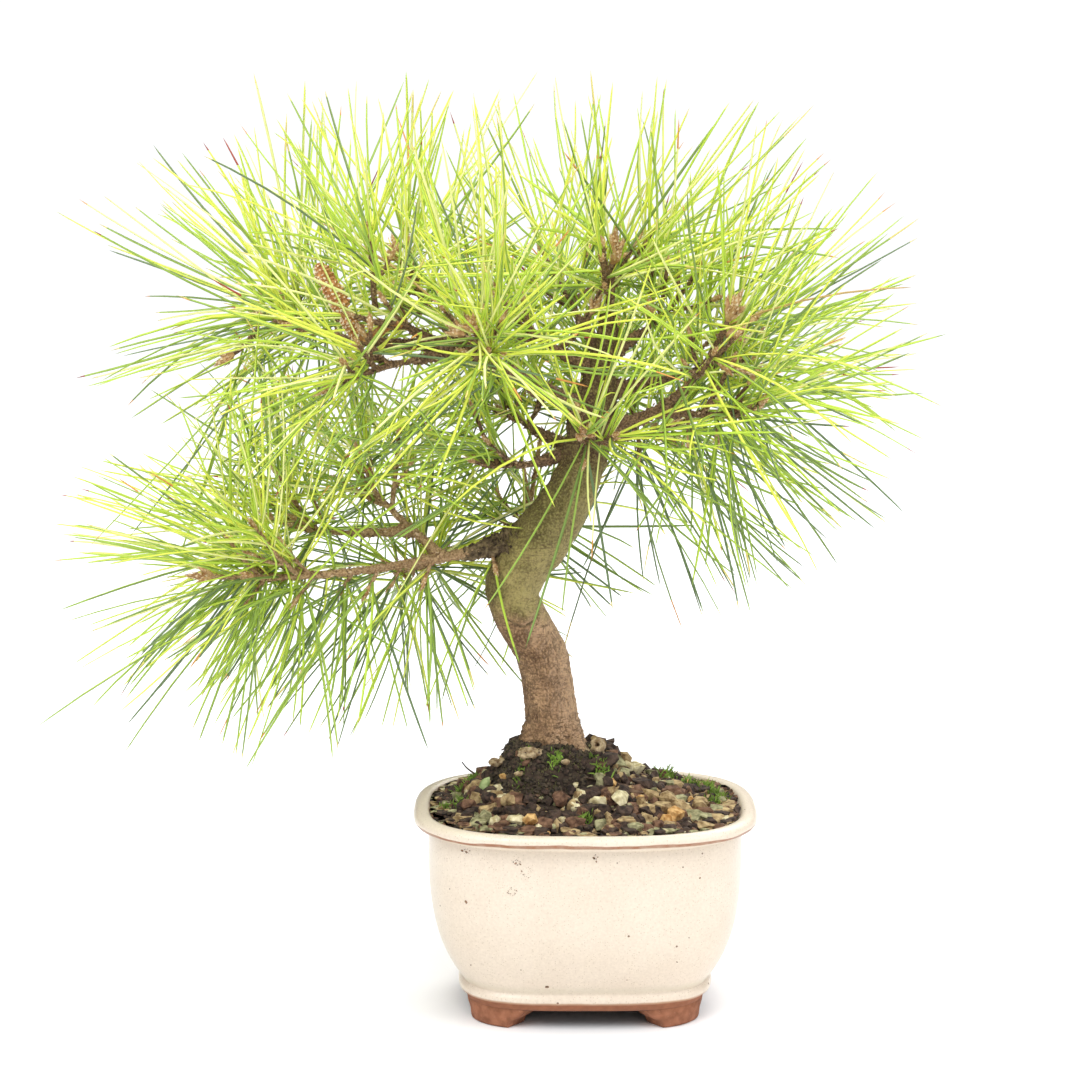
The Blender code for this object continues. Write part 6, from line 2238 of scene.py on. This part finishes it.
class BONSAI_OT_pot(bpy.types.Operator):
    """Builds the glazed pot with its pits"""

    bl_idname = "bonsai.pot"
    bl_label = "Pot"

    def execute(self, context):
        pot = context.scene.bonsai_pot
        make_pot(pot)
        make_pits(pot)
        return {"FINISHED"}


class BONSAI_OT_feet(bpy.types.Operator):
    """Builds the four clay feet"""

    bl_idname = "bonsai.feet"
    bl_label = "Feet"

    def execute(self, context):
        make_feet(context.scene.bonsai_pot)
        return {"FINISHED"}


class BONSAI_OT_soil(bpy.types.Operator):
    """Builds the soil with the clump of old roots"""

    bl_idname = "bonsai.soil"
    bl_label = "Soil"

    def execute(self, context):
        soil, pot = context.scene.bonsai_soil, context.scene.bonsai_pot
        points, faces = soil_surface(pot)
        tones = shade(soil.earth, 0.6), shade(soil.earth, 2.0)
        finish = mottled_finish("dark_soil", *tones, 220.0, 0.95, (500.0, 0.9, 1.0))
        thing = build_piece("soil_dome", points, faces, [finish])
        stand_for(thing, "gritty_soil", "soil")
        make_root_lumps()
        make_crumbs(pot)
        return {"FINISHED"}


class BONSAI_OT_stones(bpy.types.Operator):
    """Scatters the grit and bark chips on the soil"""

    bl_idname = "bonsai.stones"
    bl_label = "Stones"

    def execute(self, context):
        make_stones(context.scene.bonsai_soil, context.scene.bonsai_pot)
        make_litter(context.scene.bonsai_pot)
        return {"FINISHED"}


class BONSAI_OT_moss(bpy.types.Operator):
    """Grows the moss, and sets the leaf and the stick"""

    bl_idname = "bonsai.moss"
    bl_label = "Moss"

    def execute(self, context):
        make_moss(context.scene.bonsai_soil, context.scene.bonsai_pot)
        make_leaf_and_stick(context.scene.bonsai_pot)
        return {"FINISHED"}


class BONSAI_OT_trunk(bpy.types.Operator):
    """Builds the trunk and its flared roots"""

    bl_idname = "bonsai.trunk"
    bl_label = "Trunk"

    def execute(self, context):
        bark = context.scene.bonsai_bark
        make_trunk(bark, bark_finish(bark))
        return {"FINISHED"}


class BONSAI_OT_boughs(bpy.types.Operator):
    """Builds the bare boughs"""

    bl_idname = "bonsai.boughs"
    bl_label = "Boughs"

    def execute(self, context):
        make_boughs(twig_finishes(context.scene.bonsai_bark), limb_roots())
        return {"FINISHED"}


class BONSAI_OT_foliage(bpy.types.Operator):
    """Grows the twigs, needles and buds of every mass"""

    bl_idname = "bonsai.foliage"
    bl_label = "Foliage"

    def execute(self, context):
        settings = context.scene.bonsai_needles
        finishes = needle_finishes(settings)
        twig_barks = twig_finishes(context.scene.bonsai_bark)
        roots = limb_roots()
        wood, wood_sizes = wood_samples(roots)
        low, high = (np.array(corner) - CENTRE for corner in cad_box)
        rng = random.Random(SEED)
        plans = {limb.name: mass_shoots(limb, roots.get(limb.name), rng) for limb in MASSES}
        fine = random.Random(SEED + 9)
        shoot_sets = {}
        for limb in MASSES:
            shoot_sets[limb.name] = all_shoots(limb, roots.get(limb.name), *plans[limb.name], fine)
        sight = clearings(roots, context.scene.bonsai_stage, shoot_sets)
        for limb in MASSES:
            shoots = shoot_sets[limb.name]
            # Twigs in the crown take the dark bark, painted shade; the low twigs take the tan bark.
            make_twigs(limb, shoots, twig_barks[limb.name.startswith("low")])
            make_needles(limb, shoots, settings, finishes, (low, high), wood, wood_sizes, sight)
        make_scales(shoot_sets, roots)
        make_buds(shoot_sets)
        make_cones(roots)
        return {"FINISHED"}


class BONSAI_OT_stage(bpy.types.Operator):
    """Sets up the floor, the lights and the camera"""

    bl_idname = "bonsai.stage"
    bl_label = "Stage"

    def execute(self, context):
        stage = context.scene.bonsai_stage
        make_floor(stage)
        make_world()
        for lamp in LAMPS:
            make_lamp(*lamp)
        make_camera(stage)
        context.scene.view_settings.view_transform = "Standard"
        return {"FINISHED"}


OPERATORS = (
    BONSAI_OT_pot, BONSAI_OT_feet, BONSAI_OT_soil, BONSAI_OT_stones, BONSAI_OT_moss, BONSAI_OT_trunk,
    BONSAI_OT_boughs, BONSAI_OT_foliage, BONSAI_OT_stage,
)


class BONSAI_PT_panel(bpy.types.Panel):
    """Lists the operators that build the bonsai"""

    bl_idname = "BONSAI_PT_panel"
    bl_label = "Bonsai"
    bl_space_type = "VIEW_3D"
    bl_region_type = "UI"
    bl_category = "Bonsai"

    def draw(self, context):
        for operator in OPERATORS:
            self.layout.operator(operator.bl_idname)


SETTINGS = {
    "bonsai_pot": BonsaiPotSettings, "bonsai_soil": BonsaiSoilSettings, "bonsai_bark": BonsaiBarkSettings,
    "bonsai_needles": BonsaiNeedleSettings, "bonsai_stage": BonsaiStageSettings,
}


def register():
    """Adds the settings, operators and panel."""
    for name, group in SETTINGS.items():
        bpy.utils.register_class(group)
        setattr(bpy.types.Scene, name, bpy.props.PointerProperty(type=group))
    for made in (*OPERATORS, BONSAI_PT_panel):
        bpy.utils.register_class(made)


def unregister():
    """Removes the settings, operators and panel."""
    for made in (BONSAI_PT_panel, *reversed(OPERATORS)):
        bpy.utils.unregister_class(made)
    for name, group in SETTINGS.items():
        delattr(bpy.types.Scene, name)
        bpy.utils.unregister_class(group)


def main():
    """Builds every piece and the stage."""
    register()
    bpy.ops.bonsai.pot()
    bpy.ops.bonsai.feet()
    bpy.ops.bonsai.soil()
    bpy.ops.bonsai.stones()
    bpy.ops.bonsai.moss()
    bpy.ops.bonsai.trunk()
    bpy.ops.bonsai.boughs()
    bpy.ops.bonsai.foliage()
    bpy.ops.bonsai.stage()
    bpy.context.view_layer.update()


if __name__ == "__main__":
    main()
